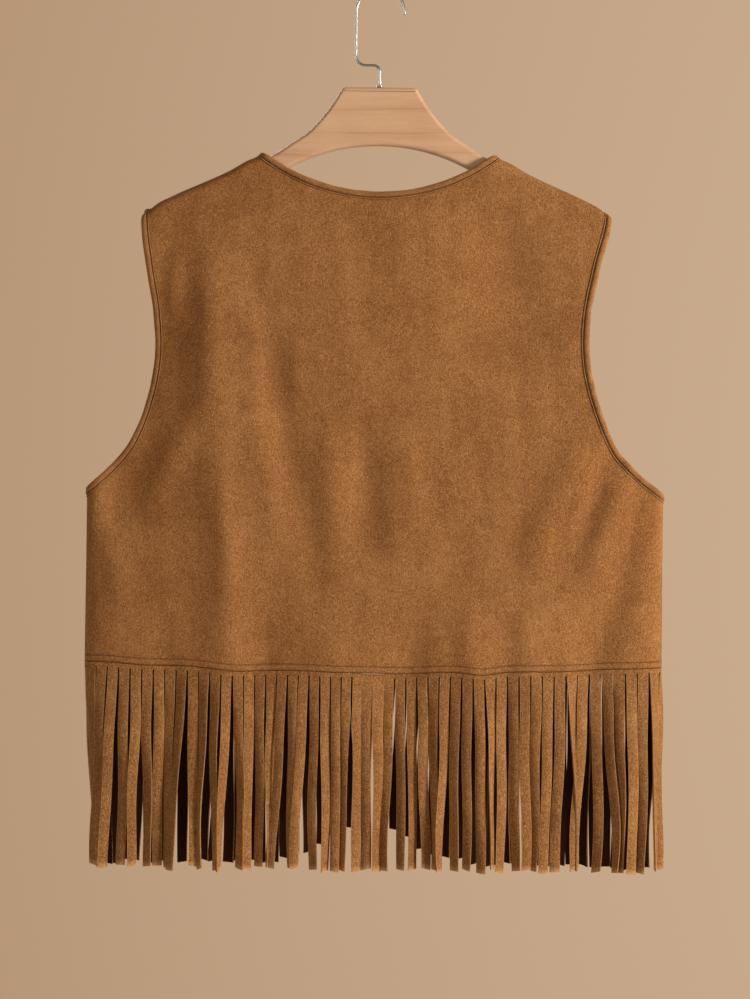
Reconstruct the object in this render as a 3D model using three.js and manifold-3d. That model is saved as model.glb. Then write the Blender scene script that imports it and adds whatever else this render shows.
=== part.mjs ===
// A fringed vest of tan suede cloth, hanging on a flat wooden hanger with a wire hook.
// Sizes are in millimetres. Z is up, and the vest's back looks along -Y and its open front along +Y.
// The wearer's left is -X. The origin is the inside top of the hook, where a rail carries it.

import * as THREE from "three";
import { mergeVertices } from "three/addons/utils/BufferGeometryUtils.js";
import Module from "manifold-3d";

// Cloth and seams
const CLOTH = 1.4;
const SHOULDER_RISE = 0.57;
const SEAM_GAP = 0.3;
const HALF_CHEST = 260;
const HEM_SIDE = -610.5;
const HEM_SAG = 6.9;

// How far the hanging cloth stands off the middle plane
const SHOULDER_DEPTH = 10;
const SHOULDER_ROUND = 8;
const SHOULDER_FREE = 15;
const SHOULDER_LOOSE = 60;
const SIDE_LOOSE = 30;
const FULLNESS = 14.5;
const FULLNESS_REACH = 120;
const SECTION_POWER = 4;

// Neck: the back neckline is an arc, the front one a long V that ends in straight front edges
const NECK_HALF = 110;
const NECK_LOW = -192;
const NECK_EXTENSION = 27.5;
const V_LOW = -334;
const V_POWER = 1.3;
const FRONT_EDGE = 12.5;

// Rounded lower corner of each front, measured in lanes of the fringe
const CORNER_LANES = 9;
const CORNER_RADIUS = 112;

// Fringe
const BACK_STRANDS = 53;
const FRONT_STRANDS = 25;
const STRAND_GROWTH = 0.065;
const STRAND_GAP = 0.8;
const STRIP_HEIGHT = 3.5;
const FRINGE_END = -793.5;
const STRAND_STEPS = 5;
const STRAND_SWAY = 2.5;
const STRAND_TWIST = 0.5;

// Hanger and hook
const WOOD_HALF = 6;
const WOOD_EDGE = 3.5;
const WOOD_TOP = -89.3;
const WOOD_DROP = 2.7;
const ARM_DEPTH = 18;
const ARM_END = 192;
const ARM_FALL = 26;
const ARCH_TOP = -141.7;
const ARCH_RADIUS = 169;
// The board's top, from its flat middle down each side to the arms
const BOARD_TOP = [
  { across: 30, drop: 0 },
  { across: 33, drop: 0.9 },
  { across: 34.7, drop: 2.6 },
  { across: 43.7, drop: 17.2 },
  { across: 54, drop: 30.4 },
  { across: 65, drop: 41.7 },
  { across: 80.5, drop: 52.2 },
  { across: 94, drop: 61.2 },
  { across: 107, drop: 66.3 },
];
const WIRE = 2.4;
const HOOK_RADIUS = 21.8;
const HOOK_BEND_LEVEL = -68.9;
const HOOK_BEND = 9;
const NECK_BEND = 5.8;
const STEM_END = -110;
const BORE = 3;
const FERRULE_DIAMETER = 5.4;
const FERRULE_HEIGHT = 2.4;

// Outer line of the shoulder, measured on top of the cloth
const SHOULDER = [
  { across: 103, height: -148 },
  { across: 110, height: -152.5 },
  { across: 120, height: -157 },
  { across: 135, height: -165.8 },
  { across: 157, height: -176 },
  { across: 176, height: -184.3 },
  { across: 188, height: -190 },
  { across: 200, height: -196.3 },
  { across: 212, height: -207 },
  { across: 262, height: -237 },
];

// Half widths of the cloth at the armhole seams, from the shoulder tip to the underarm
const ARMHOLE = [
  { height: -199.8, left: 204.5, right: 203.5 },
  { height: -211, left: 206.6, right: 203.6 },
  { height: -249, left: 202.1, right: 193.7 },
  { height: -299, left: 194, right: 184.5 },
  { height: -341, left: 193.3, right: 185.1 },
  { height: -382, left: 201.8, right: 195.4 },
  { height: -419, left: 217.6, right: 211.6 },
  { height: -442, left: 237.4, right: 232.6 },
  { height: -463, left: 260, right: 260 },
];
const FRONT_SCOOP = 8;

// Soft folds: a line from its top to its foot, half width, and how far it stands out (or in, if negative)
const FOLD_FADE = 0.35;
const BACK_FOLDS = [
  { topX: -150, topZ: -250, footX: -148, footZ: -385, width: 17, rise: 6 },
  { topX: -142, topZ: -385, footX: -131, footZ: -625, width: 20, rise: 5 },
  { topX: -200, topZ: -262, footX: -235, footZ: -490, width: 42, rise: -10 },
  { topX: -120, topZ: -355, footX: -80, footZ: -505, width: 16, rise: 5 },
  { topX: -90, topZ: -300, footX: -54, footZ: -500, width: 16, rise: -4 },
  { topX: -42, topZ: -400, footX: -36, footZ: -500, width: 12, rise: 2.5 },
  { topX: -12, topZ: -400, footX: -8, footZ: -505, width: 14, rise: -2.5 },
  { topX: 20, topZ: -410, footX: 22, footZ: -510, width: 13, rise: 2 },
  { topX: 90, topZ: -400, footX: 92, footZ: -470, width: 9, rise: -1.5 },
  { topX: 118, topZ: -215, footX: 134, footZ: -335, width: 30, rise: -4.5 },
  { topX: 190, topZ: -400, footX: 142, footZ: -510, width: 16, rise: 4.5 },
  { topX: 207, topZ: -425, footX: 170, footZ: -530, width: 13, rise: -4 },
  { topX: 222, topZ: -440, footX: 198, footZ: -515, width: 11, rise: 4 },
  { topX: 236, topZ: -470, footX: 206, footZ: -600, width: 14, rise: -4 },
  { topX: -244, topZ: -490, footX: -224, footZ: -560, width: 13, rise: 3 },
  { topX: -190, topZ: -570, footX: -190, footZ: -640, width: 16, rise: -3 },
  { topX: -98, topZ: -570, footX: -98, footZ: -640, width: 15, rise: -3 },
  { topX: -33, topZ: -575, footX: -33, footZ: -640, width: 18, rise: 2.5 },
  { topX: 37, topZ: -570, footX: 37, footZ: -640, width: 16, rise: -2.5 },
  { topX: 86, topZ: -560, footX: 86, footZ: -640, width: 12, rise: 3 },
  { topX: 138, topZ: -575, footX: 138, footZ: -640, width: 13, rise: 2 },
  { topX: 190, topZ: -560, footX: 192, footZ: -640, width: 16, rise: -3.5 },
];
const FRONT_FOLDS = [
  { topX: -168, topZ: -260, footX: -150, footZ: -470, width: 24, rise: 4 },
  { topX: -110, topZ: -300, footX: -95, footZ: -560, width: 20, rise: -4 },
  { topX: -60, topZ: -350, footX: -52, footZ: -500, width: 16, rise: 3.5 },
  { topX: -205, topZ: -480, footX: -190, footZ: -620, width: 18, rise: -4 },
  { topX: 158, topZ: -255, footX: 150, footZ: -450, width: 22, rise: 4.5 },
  { topX: 104, topZ: -330, footX: 98, footZ: -590, width: 20, rise: -4 },
  { topX: 55, topZ: -360, footX: 58, footZ: -520, width: 16, rise: 3 },
  { topX: 206, topZ: -470, footX: 196, footZ: -620, width: 18, rise: -3.5 },
];

// Heights of the cloth's rows, read on its side, from the hem up to the underarm and on to the shoulder tip
const ROWS_BELOW_ARM = [-610.5, -582, -552, -522, -492, -463];
const ROWS_BESIDE_ARM = [-459, -453, -444, -432, -415, -390, -355, -318, -283, -250, -227, -215];
const ROWS = [...ROWS_BELOW_ARM, ...ROWS_BESIDE_ARM];
// The last rows, and the stations beside the neck, follow the cloth round over the shoulder
const ROUND_STEPS = [7, 4.2, 2.2, 0.9, 0];
const FALL_BESIDE_NECK = 1.3;

// Section of the binding: across is away from the seam, out is along the cloth's normal
const BINDING = [
  { across: 0.3, out: -1.1 },
  { across: 0.3, out: 1.1 },
  { across: 3.2, out: 1.9 },
  { across: 7.5, out: 0.8 },
  { across: 7.5, out: -0.8 },
  { across: 3.2, out: -1.9 },
];

const suede = new THREE.MeshStandardMaterial({ color: 0x92613a, roughness: 0.92, metalness: 0 });
const suedeEdge = new THREE.MeshStandardMaterial({ color: 0x8a5934, roughness: 0.9, metalness: 0 });
const wood = new THREE.MeshStandardMaterial({ color: 0xc79d77, roughness: 0.5, metalness: 0 });
const chrome = new THREE.MeshStandardMaterial({ color: 0xc9c9c9, roughness: 0.2, metalness: 1 });

const wasm = await Module();
wasm.setup();

// Small mathematics

const lerp = THREE.MathUtils.lerp;
const smooth = THREE.MathUtils.smoothstep;

// A smooth curve through a table's rows, which run in the order of their heights or distances
function curveThrough(rows, key, value) {
  const slopeAt = (i) => {
    const before = rows[Math.max(i - 1, 0)];
    const after = rows[Math.min(i + 1, rows.length - 1)];
    return (after[value] - before[value]) / (after[key] - before[key]);
  };
  const rising = rows[rows.length - 1][key] > rows[0][key];
  return (at) => {
    let i = rows.findIndex((row) => (rising ? row[key] > at : row[key] < at)) - 1;
    if (i === -2) i = rows.length - 2;
    i = Math.max(i, 0);
    const span = rows[i + 1][key] - rows[i][key];
    const t = THREE.MathUtils.clamp((at - rows[i][key]) / span, 0, 1);
    const a = rows[i][value];
    const b = rows[i + 1][value];
    const slopeA = slopeAt(i) * span;
    const slopeB = slopeAt(i + 1) * span;
    const cubic = slopeA + slopeB + 2 * (a - b);
    const square = 3 * (b - a) - 2 * slopeA - slopeB;
    return a + t * (slopeA + t * (square + t * cubic));
  };
}

// Half-chord and sag give the radius of an arc
const arcRadius = (half, sag) => (half * half + sag * sag) / (2 * sag);

// The garment's lines

const shoulderTop = curveThrough(SHOULDER, "across", "height");
const armholeLeft = curveThrough(ARMHOLE, "height", "left");
const armholeRight = curveThrough(ARMHOLE, "height", "right");
// On the sloping shoulder the middle of the cloth lies a little more than half the cloth below its top
const shoulderRise = CLOTH * SHOULDER_RISE;
const neckPoint = shoulderTop(NECK_HALF) - shoulderRise;
const neckRadius = arcRadius(NECK_HALF, neckPoint - NECK_LOW);
const hemRadius = arcRadius(HALF_CHEST, HEM_SAG);
const underarm = ARMHOLE[ARMHOLE.length - 1].height;

// Middle of the cloth along the shoulder, carried on as a low arch over the neck
function shoulderLine(x) {
  const across = Math.abs(x);
  if (across < NECK_HALF) return neckPoint + NECK_EXTENSION * (1 - (across / NECK_HALF) ** 2);
  return shoulderTop(across) - shoulderRise;
}

const backNeck = (x) => NECK_LOW + neckRadius - Math.sqrt(neckRadius ** 2 - x * x);
const backTop = (x) => (Math.abs(x) < NECK_HALF ? backNeck(x) : shoulderLine(x));
const hem = (x) => HEM_SIDE - HEM_SAG + hemRadius - Math.sqrt(hemRadius ** 2 - x * x);

// Half width at the side of a panel: straight below the underarm, scooped above it
function sideHalf(height, sideX, isFront) {
  if (height <= underarm) return HALF_CHEST;
  const tip = ARMHOLE[0].height;
  const scoop = isFront ? FRONT_SCOOP * Math.sin((Math.PI * (height - underarm)) / (tip - underarm)) : 0;
  return (sideX < 0 ? armholeLeft(height) : armholeRight(height)) - scoop;
}

// Half width at the front edge: the V of the neck runs smoothly into a straight edge
function frontEdge(height) {
  const up = Math.max(0, (height - V_LOW) / (neckPoint - V_LOW));
  return FRONT_EDGE + (NECK_HALF - FRONT_EDGE) * up ** V_POWER;
}

function foldRise(folds, x, z) {
  let rise = 0;
  for (const fold of folds) {
    const runX = fold.footX - fold.topX;
    const runZ = fold.footZ - fold.topZ;
    const length = Math.hypot(runX, runZ);
    const along = ((x - fold.topX) * runX + (z - fold.topZ) * runZ) / length;
    const aside = ((x - fold.topX) * runZ - (z - fold.topZ) * runX) / length;
    const fade = FOLD_FADE * length;
    const ends = smooth(along, -fade, fade) * smooth(length - along, -fade, fade);
    rise += fold.rise * ends * Math.exp(-((aside / fold.width) ** 2));
  }
  return rise;
}

// How far the middle of the cloth lies from the plane through the side and shoulder seams
function depth(x, z, folds) {
  const below = Math.max(0, shoulderLine(x) - z);
  const over = Math.min(1, below / SHOULDER_ROUND);
  const round = Math.sqrt(1 - (1 - over) ** 2);
  const past = Math.max(0, below - SHOULDER_ROUND);
  const grown = SHOULDER_DEPTH + FULLNESS * (1 - Math.exp(-past / FULLNESS_REACH));
  const across = Math.min(1, Math.abs(x) / HALF_CHEST);
  const oval = (1 - across ** SECTION_POWER) ** (1 / SECTION_POWER);
  const free = smooth(below, SHOULDER_FREE, SHOULDER_LOOSE) * smooth(HALF_CHEST - Math.abs(x), 0, SIDE_LOOSE);
  return SEAM_GAP / 2 + grown * round * oval + free * foldRise(folds, x, z);
}

// The middle surface of the back (facing -1) or of the fronts (facing 1), and its normal
function clothSide(facing, folds) {
  const STEP = 0.02;
  return {
    facing,
    at: (x, z) => new THREE.Vector3(x, facing * depth(x, z, folds), z),
    normal: (x, z) => {
      const inside = THREE.MathUtils.clamp(x, STEP - HALF_CHEST, HALF_CHEST - STEP);
      const perX = (depth(inside + STEP, z, folds) - depth(inside - STEP, z, folds)) / (2 * STEP);
      const perZ = (depth(inside, z + STEP, folds) - depth(inside, z - STEP, folds)) / (2 * STEP);
      return new THREE.Vector3(-perX, facing, -perZ).normalize();
    },
  };
}

const backSide = clothSide(-1, BACK_FOLDS);
const frontSide = clothSide(1, FRONT_FOLDS);

// Distances from the middle that cut the cloth round the hem into lanes, each a little wider than the last
function laneStations(from, to, count, growth) {
  const FINE = 400;
  const fine = [];
  for (let i = 0; i <= FINE; i++) {
    const x = from + (to - from) * Math.sin((Math.PI / 2) * (i / FINE));
    const y = (SHOULDER_DEPTH + FULLNESS) * (1 - (x / HALF_CHEST) ** SECTION_POWER) ** (1 / SECTION_POWER);
    const length = i === 0 ? 0 : fine[i - 1].length + Math.hypot(x - fine[i - 1].x, y - fine[i - 1].y);
    fine.push({ x, y, length });
  }
  const stations = [from];
  for (let step = 1; step < count; step++) {
    const share = step / count;
    const length = fine[FINE].length * (share + growth * (share * share - share));
    const after = fine.findIndex((point) => point.length >= length);
    const a = fine[after - 1];
    const b = fine[after];
    stations.push(lerp(a.x, b.x, (length - a.length) / (b.length - a.length)));
  }
  stations.push(to);
  return stations;
}

const backLanesLeft = laneStations(0, HALF_CHEST, Math.ceil(BACK_STRANDS / 2), STRAND_GROWTH);
const backLanesRight = laneStations(0, HALF_CHEST, Math.floor(BACK_STRANDS / 2), STRAND_GROWTH);
const frontLanes = laneStations(FRONT_EDGE, HALF_CHEST, FRONT_STRANDS, 0);
const cornerStart = frontLanes[CORNER_LANES];

// Lower edge of a front, which rises round its corner towards the opening
function frontHem(x) {
  const into = Math.max(0, cornerStart - Math.abs(x));
  return hem(x) + CORNER_RADIUS - Math.sqrt(CORNER_RADIUS ** 2 - into * into);
}

// Closed meshes

function closedGeometry(positions, faces) {
  const geometry = new THREE.BufferGeometry();
  const numbers = positions.flatMap((p) => p.toArray());
  geometry.setAttribute("position", new THREE.Float32BufferAttribute(numbers, 3));
  geometry.setIndex(faces.flat());
  return geometry;
}

// A wall from points on its middle, their normals, and cells that turn anticlockwise seen from outside
function wall(points, normals, cells) {
  const offset = (sign) => points.map((p, i) => p.clone().addScaledVector(normals[i], (sign * CLOTH) / 2));
  const positions = [...offset(1), ...offset(-1)];
  const inner = points.length;
  const edges = new Set();
  const faces = [];
  for (const [a, b, c, d] of cells) {
    faces.push([a, b, c], [a, c, d]);
    faces.push([inner + a, inner + c, inner + b], [inner + a, inner + d, inner + c]);
    for (const [from, to] of [[a, b], [b, c], [c, d], [d, a]]) edges.add(`${from}_${to}`);
  }
  for (const edge of edges) {
    const [from, to] = edge.split("_").map(Number);
    if (edges.has(`${to}_${from}`)) continue;
    faces.push([from, inner + from, inner + to], [from, inner + to, to]);
  }
  return closedGeometry(positions, faces);
}

// At the side and shoulder seams the cloth faces straight out, so that the two sides meet edge to edge
function faceSeams(grid, normals) {
  const STEP = 1;
  for (const [r, row] of grid.entries()) {
    for (const [c, point] of row.entries()) {
      const onSide = Math.abs(point.x) > HALF_CHEST - 0.01;
      const onShoulder = r === grid.length - 1 && Math.abs(point.x) > NECK_HALF - 0.01;
      if (onSide) normals[r][c].set(Math.sign(point.x), 0, 0);
      if (onShoulder) {
        const side = Math.sign(point.x);
        const across = Math.abs(point.x);
        const fall = (shoulderTop(across) - shoulderTop(across + STEP)) / STEP;
        normals[r][c].set(side * fall, 0, 1).normalize();
      }
    }
  }
}

function gridCells(rows, columns, flipped) {
  const cells = [];
  for (let r = 0; r < rows - 1; r++) {
    for (let c = 0; c < columns - 1; c++) {
      const a = r * columns + c;
      const cell = [a, a + 1, a + 1 + columns, a + columns];
      cells.push(flipped ? cell.reverse() : cell);
    }
  }
  return cells;
}

// Panels

const tip = shoulderLine(ARMHOLE[0].left);
const rowShares = [
  ...ROWS.map((height) => (height - HEM_SIDE) / (tip - HEM_SIDE)),
  ...ROUND_STEPS.map((below) => 1 - below / (tip - HEM_SIDE)),
];

const LAST_COLUMN = 193;
const SIDE_CROWDING = 0.6;

// Places of the back's columns at the neck and shoulders, and at the hem, where they crowd at the sides
function backColumns() {
  const besideNeck = ROUND_STEPS.map((below) => NECK_HALF - below / FALL_BESIDE_NECK);
  const neck = [0, 18, 36, 54, 70, 84, 96, ...besideNeck];
  const shoulder = [122, 134, 146, 158, 170, 182, LAST_COLUMN, ARMHOLE[0].left];
  const top = [...neck, ...shoulder];
  const half = top.length - 1;
  const share = (i) => lerp(i / half, Math.sin((Math.PI / 2) * (i / half)), SIDE_CROWDING);
  const columns = [];
  for (let i = -half; i <= half; i++) {
    const turn = Math.sign(i);
    columns.push({ top: turn * top[Math.abs(i)], foot: turn * HALF_CHEST * share(Math.abs(i)) });
  }
  return columns;
}

function backGrid() {
  const columns = backColumns();
  return rowShares.map((share) => {
    const height = lerp(HEM_SIDE, tip, share);
    const left = sideHalf(height, -1, false);
    const right = sideHalf(height, 1, false);
    return columns.map(({ top, foot }) => {
      const topEdge = top < 0 ? ARMHOLE[0].left : ARMHOLE[0].right;
      const topX = Math.abs(top) > LAST_COLUMN ? Math.sign(top) * topEdge : top;
      const z = lerp(hem(foot), backTop(topX), share);
      const footEdge = foot < 0 ? left : right;
      const x = lerp(foot / HALF_CHEST, topX / topEdge, share) * footEdge;
      return backSide.at(x, z);
    });
  });
}

// Columns of a front run from its side to its front edge, and share the fringe's lanes round the corner
function frontGrid(side) {
  const SIDE_COLUMNS = 8;
  const footX = [];
  for (let i = 0; i < SIDE_COLUMNS; i++) {
    footX.push(lerp(cornerStart, HALF_CHEST, Math.cos((Math.PI / 2) * (i / SIDE_COLUMNS))));
  }
  for (let lane = CORNER_LANES; lane >= 0; lane--) footX.push(frontLanes[lane]);
  const tipX = side < 0 ? ARMHOLE[0].left : ARMHOLE[0].right;
  return rowShares.map((share) => {
    const outer = sideHalf(lerp(HEM_SIDE, tip, share), side, true);
    const inner = frontEdge(lerp(frontHem(FRONT_EDGE), neckPoint, share));
    return footX.map((foot, i) => {
      const topX = lerp(tipX, NECK_HALF, i / (footX.length - 1));
      const footShare = (HALF_CHEST - foot) / (HALF_CHEST - FRONT_EDGE);
      const x = side * lerp(outer, inner, lerp(footShare, (tipX - topX) / (tipX - NECK_HALF), share));
      const z = lerp(frontHem(foot), shoulderLine(topX), share);
      return frontSide.at(x, z);
    });
  });
}

function panel(grid, surface, flipped) {
  const normals = grid.map((row) => row.map((point) => surface.normal(point.x, point.z)));
  faceSeams(grid, normals);
  const cells = gridCells(grid.length, grid[0].length, flipped);
  return { grid, normals, geometry: wall(grid.flat(), normals.flat(), cells) };
}

const back = panel(backGrid(), backSide, false);
const leftFront = panel(frontGrid(-1), frontSide, true);
const rightFront = panel(frontGrid(1), frontSide, false);

// Bindings

// One station of a binding: a point of a panel's edge, its normal, and the way out of the panel
function edgeStation(part, r, c, inward) {
  const point = part.grid[r][c];
  const within = part.grid[r + inward.row][c + inward.column];
  return { point, normal: part.normals[r][c], out: point.clone().sub(within).normalize() };
}

function joinStations(a, b) {
  return {
    point: a.point.clone().add(b.point).multiplyScalar(0.5),
    normal: a.normal.clone().add(b.normal).normalize(),
    out: a.out.clone().add(b.out).normalize(),
  };
}

// Sweeps the binding's section along its stations
function bindingGeometry(stations, closed) {
  const count = stations.length;
  const ring = BINDING.length;
  const positions = [];
  for (let i = 0; i < count; i++) {
    const before = stations[closed ? (i + count - 1) % count : Math.max(i - 1, 0)].point;
    const after = stations[closed ? (i + 1) % count : Math.min(i + 1, count - 1)].point;
    const along = after.clone().sub(before).normalize();
    const { point, normal, out } = stations[i];
    const up = normal.clone().addScaledVector(along, -normal.dot(along)).normalize();
    const away = along.clone().cross(up);
    if (away.dot(out) < 0) away.negate();
    for (const corner of BINDING) {
      positions.push(point.clone().addScaledVector(away, corner.across).addScaledVector(up, corner.out));
    }
  }
  const faces = [];
  for (let i = 0; i < (closed ? count : count - 1); i++) {
    const next = ((i + 1) % count) * ring;
    for (let k = 0; k < ring; k++) {
      const m = (k + 1) % ring;
      faces.push([i * ring + k, i * ring + m, next + m], [i * ring + k, next + m, next + k]);
    }
  }
  if (!closed) {
    for (let k = 1; k < ring - 1; k++) {
      faces.push([0, k + 1, k]);
      const end = (count - 1) * ring;
      faces.push([end, end + k, end + k + 1]);
    }
  }
  return outwardFaces(closedGeometry(positions, faces));
}

// Turns a closed mesh's faces outward, if its volume comes out negative
function outwardFaces(geometry) {
  const p = geometry.getAttribute("position");
  const index = geometry.getIndex();
  const corner = (i) => new THREE.Vector3().fromBufferAttribute(p, index.getX(i));
  let volume = 0;
  for (let i = 0; i < index.count; i += 3) volume += corner(i).dot(corner(i + 1).cross(corner(i + 2)));
  if (volume < 0) index.array.reverse();
  return geometry;
}

function armholeBinding(side) {
  const front = side < 0 ? leftFront : rightFront;
  const backColumn = side < 0 ? 0 : back.grid[0].length - 1;
  const backInward = { row: 0, column: -side };
  const frontInward = { row: 0, column: 1 };
  const first = ROWS.indexOf(underarm);
  const last = rowShares.length - 1;
  const backStation = (r) => edgeStation(back, r, backColumn, backInward);
  const frontStation = (r) => edgeStation(front, r, 0, frontInward);
  const upright = new THREE.Vector3(0, 0, 1);
  const atUnderarm = { ...joinStations(backStation(first), frontStation(first)), out: upright };
  const stations = [atUnderarm];
  for (let r = first + 1; r < last; r++) stations.push(backStation(r));
  stations.push(joinStations(backStation(last), frontStation(last)));
  for (let r = last - 1; r > first; r--) stations.push(frontStation(r));
  return bindingGeometry(stations, true);
}

function neckBinding() {
  const last = rowShares.length - 1;
  const inner = leftFront.grid[0].length - 1;
  const frontStation = (front, r) => edgeStation(front, r, inner, { row: 0, column: -1 });
  const neckColumns = [];
  back.grid[last].forEach((point, c) => {
    if (Math.abs(point.x) < NECK_HALF + 0.01) neckColumns.push(c);
  });
  const backStation = (c) => edgeStation(back, last, c, { row: -1, column: 0 });
  const stations = [];
  for (let r = 0; r < last; r++) stations.push(frontStation(leftFront, r));
  const neckEnd = neckColumns.length - 1;
  const neckPointStation = (side, front, column) => {
    const station = joinStations(frontStation(front, last), backStation(column));
    return { ...station, out: new THREE.Vector3(-side, 0, 0.5).normalize() };
  };
  stations.push(neckPointStation(-1, leftFront, neckColumns[0]));
  for (const c of neckColumns.slice(1, neckEnd)) stations.push(backStation(c));
  stations.push(neckPointStation(1, rightFront, neckColumns[neckEnd]));
  for (let r = last - 1; r >= 0; r--) stations.push(frontStation(rightFront, r));
  return bindingGeometry(stations, false);
}

// Fringe

// Sideways and forward drift of a strand, growing with its drop and the same for its neighbours
function sway(x, facing, drop) {
  const free = 1 - (Math.abs(x) / HALF_CHEST) ** 6;
  const reach = STRAND_SWAY * drop * drop * free;
  return { x: reach * Math.sin(x / 61 + 1.9 * facing), y: reach * Math.sin(x / 43 + 0.7 * facing) };
}

// The comb of strands that hangs from one panel's lower edge, on lanes given as signed distances
function fringe(lanes, edge, surface) {
  const { facing } = surface;
  const points = [];
  const normals = [];
  const cells = [];
  const add = (point, normal) => {
    points.push(point);
    normals.push(normal);
    return points.length - 1;
  };
  const normalAt = (x) => surface.normal(x, edge(x)).setZ(0).normalize();
  const row = (x, drop) => {
    const steep = Math.hypot(1, (edge(x + 0.1) - edge(x - 0.1)) / 0.2);
    const point = surface.at(x, edge(x));
    return add(point.setZ(point.z - drop * steep), normalAt(x));
  };
  const stripTop = SEAM_GAP;
  const stripFoot = SEAM_GAP + STRIP_HEIGHT;
  let gap = null;
  for (let i = 0; i < lanes.length - 1; i++) {
    const left = cutBeside(lanes[i], lanes[i + 1]);
    const right = cutBeside(lanes[i + 1], lanes[i]);
    const corners = [row(left, stripTop), row(right, stripTop), row(right, stripFoot), row(left, stripFoot)];
    cells.push([corners[3], corners[2], corners[1], corners[0]]);
    if (gap) cells.push([gap[2], corners[3], corners[0], gap[1]]);
    gap = corners;
    strand(i, lerp(left, right, 0.5), corners[3], corners[2]);
  }

  // The edge of a strand beside a lane line; at the side seam the strand reaches the seam itself
  function cutBeside(line, other) {
    return Math.abs(line) === HALF_CHEST ? line : line + (Math.sign(other - line) * STRAND_GAP) / 2;
  }

  function strand(lane, x, rootLeft, rootRight) {
    const middle = points[rootLeft].clone().lerp(points[rootRight], 0.5);
    const along = points[rootRight].clone().sub(points[rootLeft]).setZ(0);
    const half = along.length() / 2;
    along.normalize();
    const normal = new THREE.Vector3(-facing * along.y, facing * along.x, 0);
    const foot = FRINGE_END + edge(x) - hem(x);
    let previous = [rootLeft, rootRight];
    for (let step = 1; step <= STRAND_STEPS; step++) {
      const drop = step / STRAND_STEPS;
      const drift = sway(x, facing, drop);
      const turn = STRAND_TWIST * drop * Math.sin(lane * 2.4 + facing);
      const broad = along.clone().multiplyScalar(Math.cos(turn)).addScaledVector(normal, Math.sin(turn));
      const out = normal.clone().multiplyScalar(Math.cos(turn)).addScaledVector(along, -Math.sin(turn));
      const centre = middle.clone().add(new THREE.Vector3(drift.x, drift.y, 0));
      const level = (root) => lerp(points[root].z, foot, drop);
      const leftPoint = centre.clone().addScaledVector(broad, -half).setZ(level(rootLeft));
      const rightPoint = centre.clone().addScaledVector(broad, half).setZ(level(rootRight));
      const now = [add(leftPoint, out), add(rightPoint, out)];
      cells.push([now[0], now[1], previous[1], previous[0]]);
      previous = now;
    }
  }

  return outwardFaces(wall(points, normals, facing < 0 ? cells : cells.map((cell) => [...cell].reverse())));
}

const mirrored = (lanes) => [...lanes].reverse().map((x) => -x);
const backFringe = fringe([...mirrored(backLanesLeft), ...backLanesRight.slice(1)], hem, backSide);
const leftFringe = fringe(mirrored(frontLanes), frontHem, frontSide);
const rightFringe = fringe(frontLanes, frontHem, frontSide);

// Hanger

function hangerOutline() {
  const topEdge = (x) => shoulderTop(x) - WOOD_DROP;
  const half = BOARD_TOP.map(({ across, drop }) => [across, WOOD_TOP - drop]);
  for (const x of [122, 138, 155, 172]) half.push([x, topEdge(x)]);
  const endRadius = (ARM_DEPTH / 2) * Math.cos(THREE.MathUtils.degToRad(ARM_FALL));
  const endX = ARM_END - endRadius;
  const endZ = topEdge(endX) - ARM_DEPTH / 2;
  for (const turn of [0, 30, 60, 90, 120, 150, 180]) {
    const angle = THREE.MathUtils.degToRad(90 - ARM_FALL - turn);
    half.push([endX + endRadius * Math.cos(angle), endZ + endRadius * Math.sin(angle)]);
  }
  for (const x of [165, 145, 125, 105]) half.push([x, topEdge(x) - ARM_DEPTH]);
  for (const x of [88, 70, 52, 34, 17]) {
    half.push([x, ARCH_TOP + Math.sqrt(ARCH_RADIUS ** 2 - x * x) - ARCH_RADIUS]);
  }
  const other = half.slice().reverse().map(([x, z]) => [-x, z]);
  return [...half, [0, ARCH_TOP], ...other].map(([x, z]) => new THREE.Vector2(x, z));
}

function toSolid(geometry) {
  const bare = geometry.clone();
  bare.deleteAttribute("normal");
  bare.deleteAttribute("uv");
  const merged = mergeVertices(bare, 1e-4);
  const vertProperties = new Float32Array(merged.getAttribute("position").array);
  const triVerts = new Uint32Array(merged.getIndex().array);
  return new wasm.Manifold(new wasm.Mesh({ numProp: 3, vertProperties, triVerts }));
}

function fromSolid(solid) {
  const mesh = solid.getMesh();
  const geometry = new THREE.BufferGeometry();
  geometry.setAttribute("position", new THREE.BufferAttribute(mesh.vertProperties, 3));
  geometry.setIndex(new THREE.BufferAttribute(mesh.triVerts, 1));
  return geometry;
}

function hangerGeometry() {
  const board = new THREE.ExtrudeGeometry(new THREE.Shape(hangerOutline()), {
    depth: 2 * (WOOD_HALF - WOOD_EDGE),
    bevelThickness: WOOD_EDGE,
    bevelSize: WOOD_EDGE,
    bevelOffset: -WOOD_EDGE,
    bevelSegments: 3,
  });
  board.translate(0, 0, WOOD_EDGE - WOOD_HALF);
  board.rotateX(Math.PI / 2);
  const drillLength = 30;
  const drill = new THREE.CylinderGeometry(BORE / 2, BORE / 2, drillLength, 16);
  drill.rotateX(Math.PI / 2);
  drill.translate(0, 0, STEM_END - SEAM_GAP + drillLength / 2);
  return fromSolid(toSolid(board).subtract(toSolid(drill)));
}

// Hook

// A bend of the wire in the plane of the hanger, in degrees from +X towards +Z
class Bend extends THREE.Curve {
  constructor(centreX, centreZ, radius, fromDegrees, toDegrees) {
    super();
    Object.assign(this, { centreX, centreZ, radius, fromDegrees, toDegrees });
  }

  getPoint(t) {
    const angle = THREE.MathUtils.degToRad(lerp(this.fromDegrees, this.toDegrees, t));
    const x = this.centreX + this.radius * Math.cos(angle);
    return new THREE.Vector3(x, 0, this.centreZ + this.radius * Math.sin(angle));
  }
}

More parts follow.
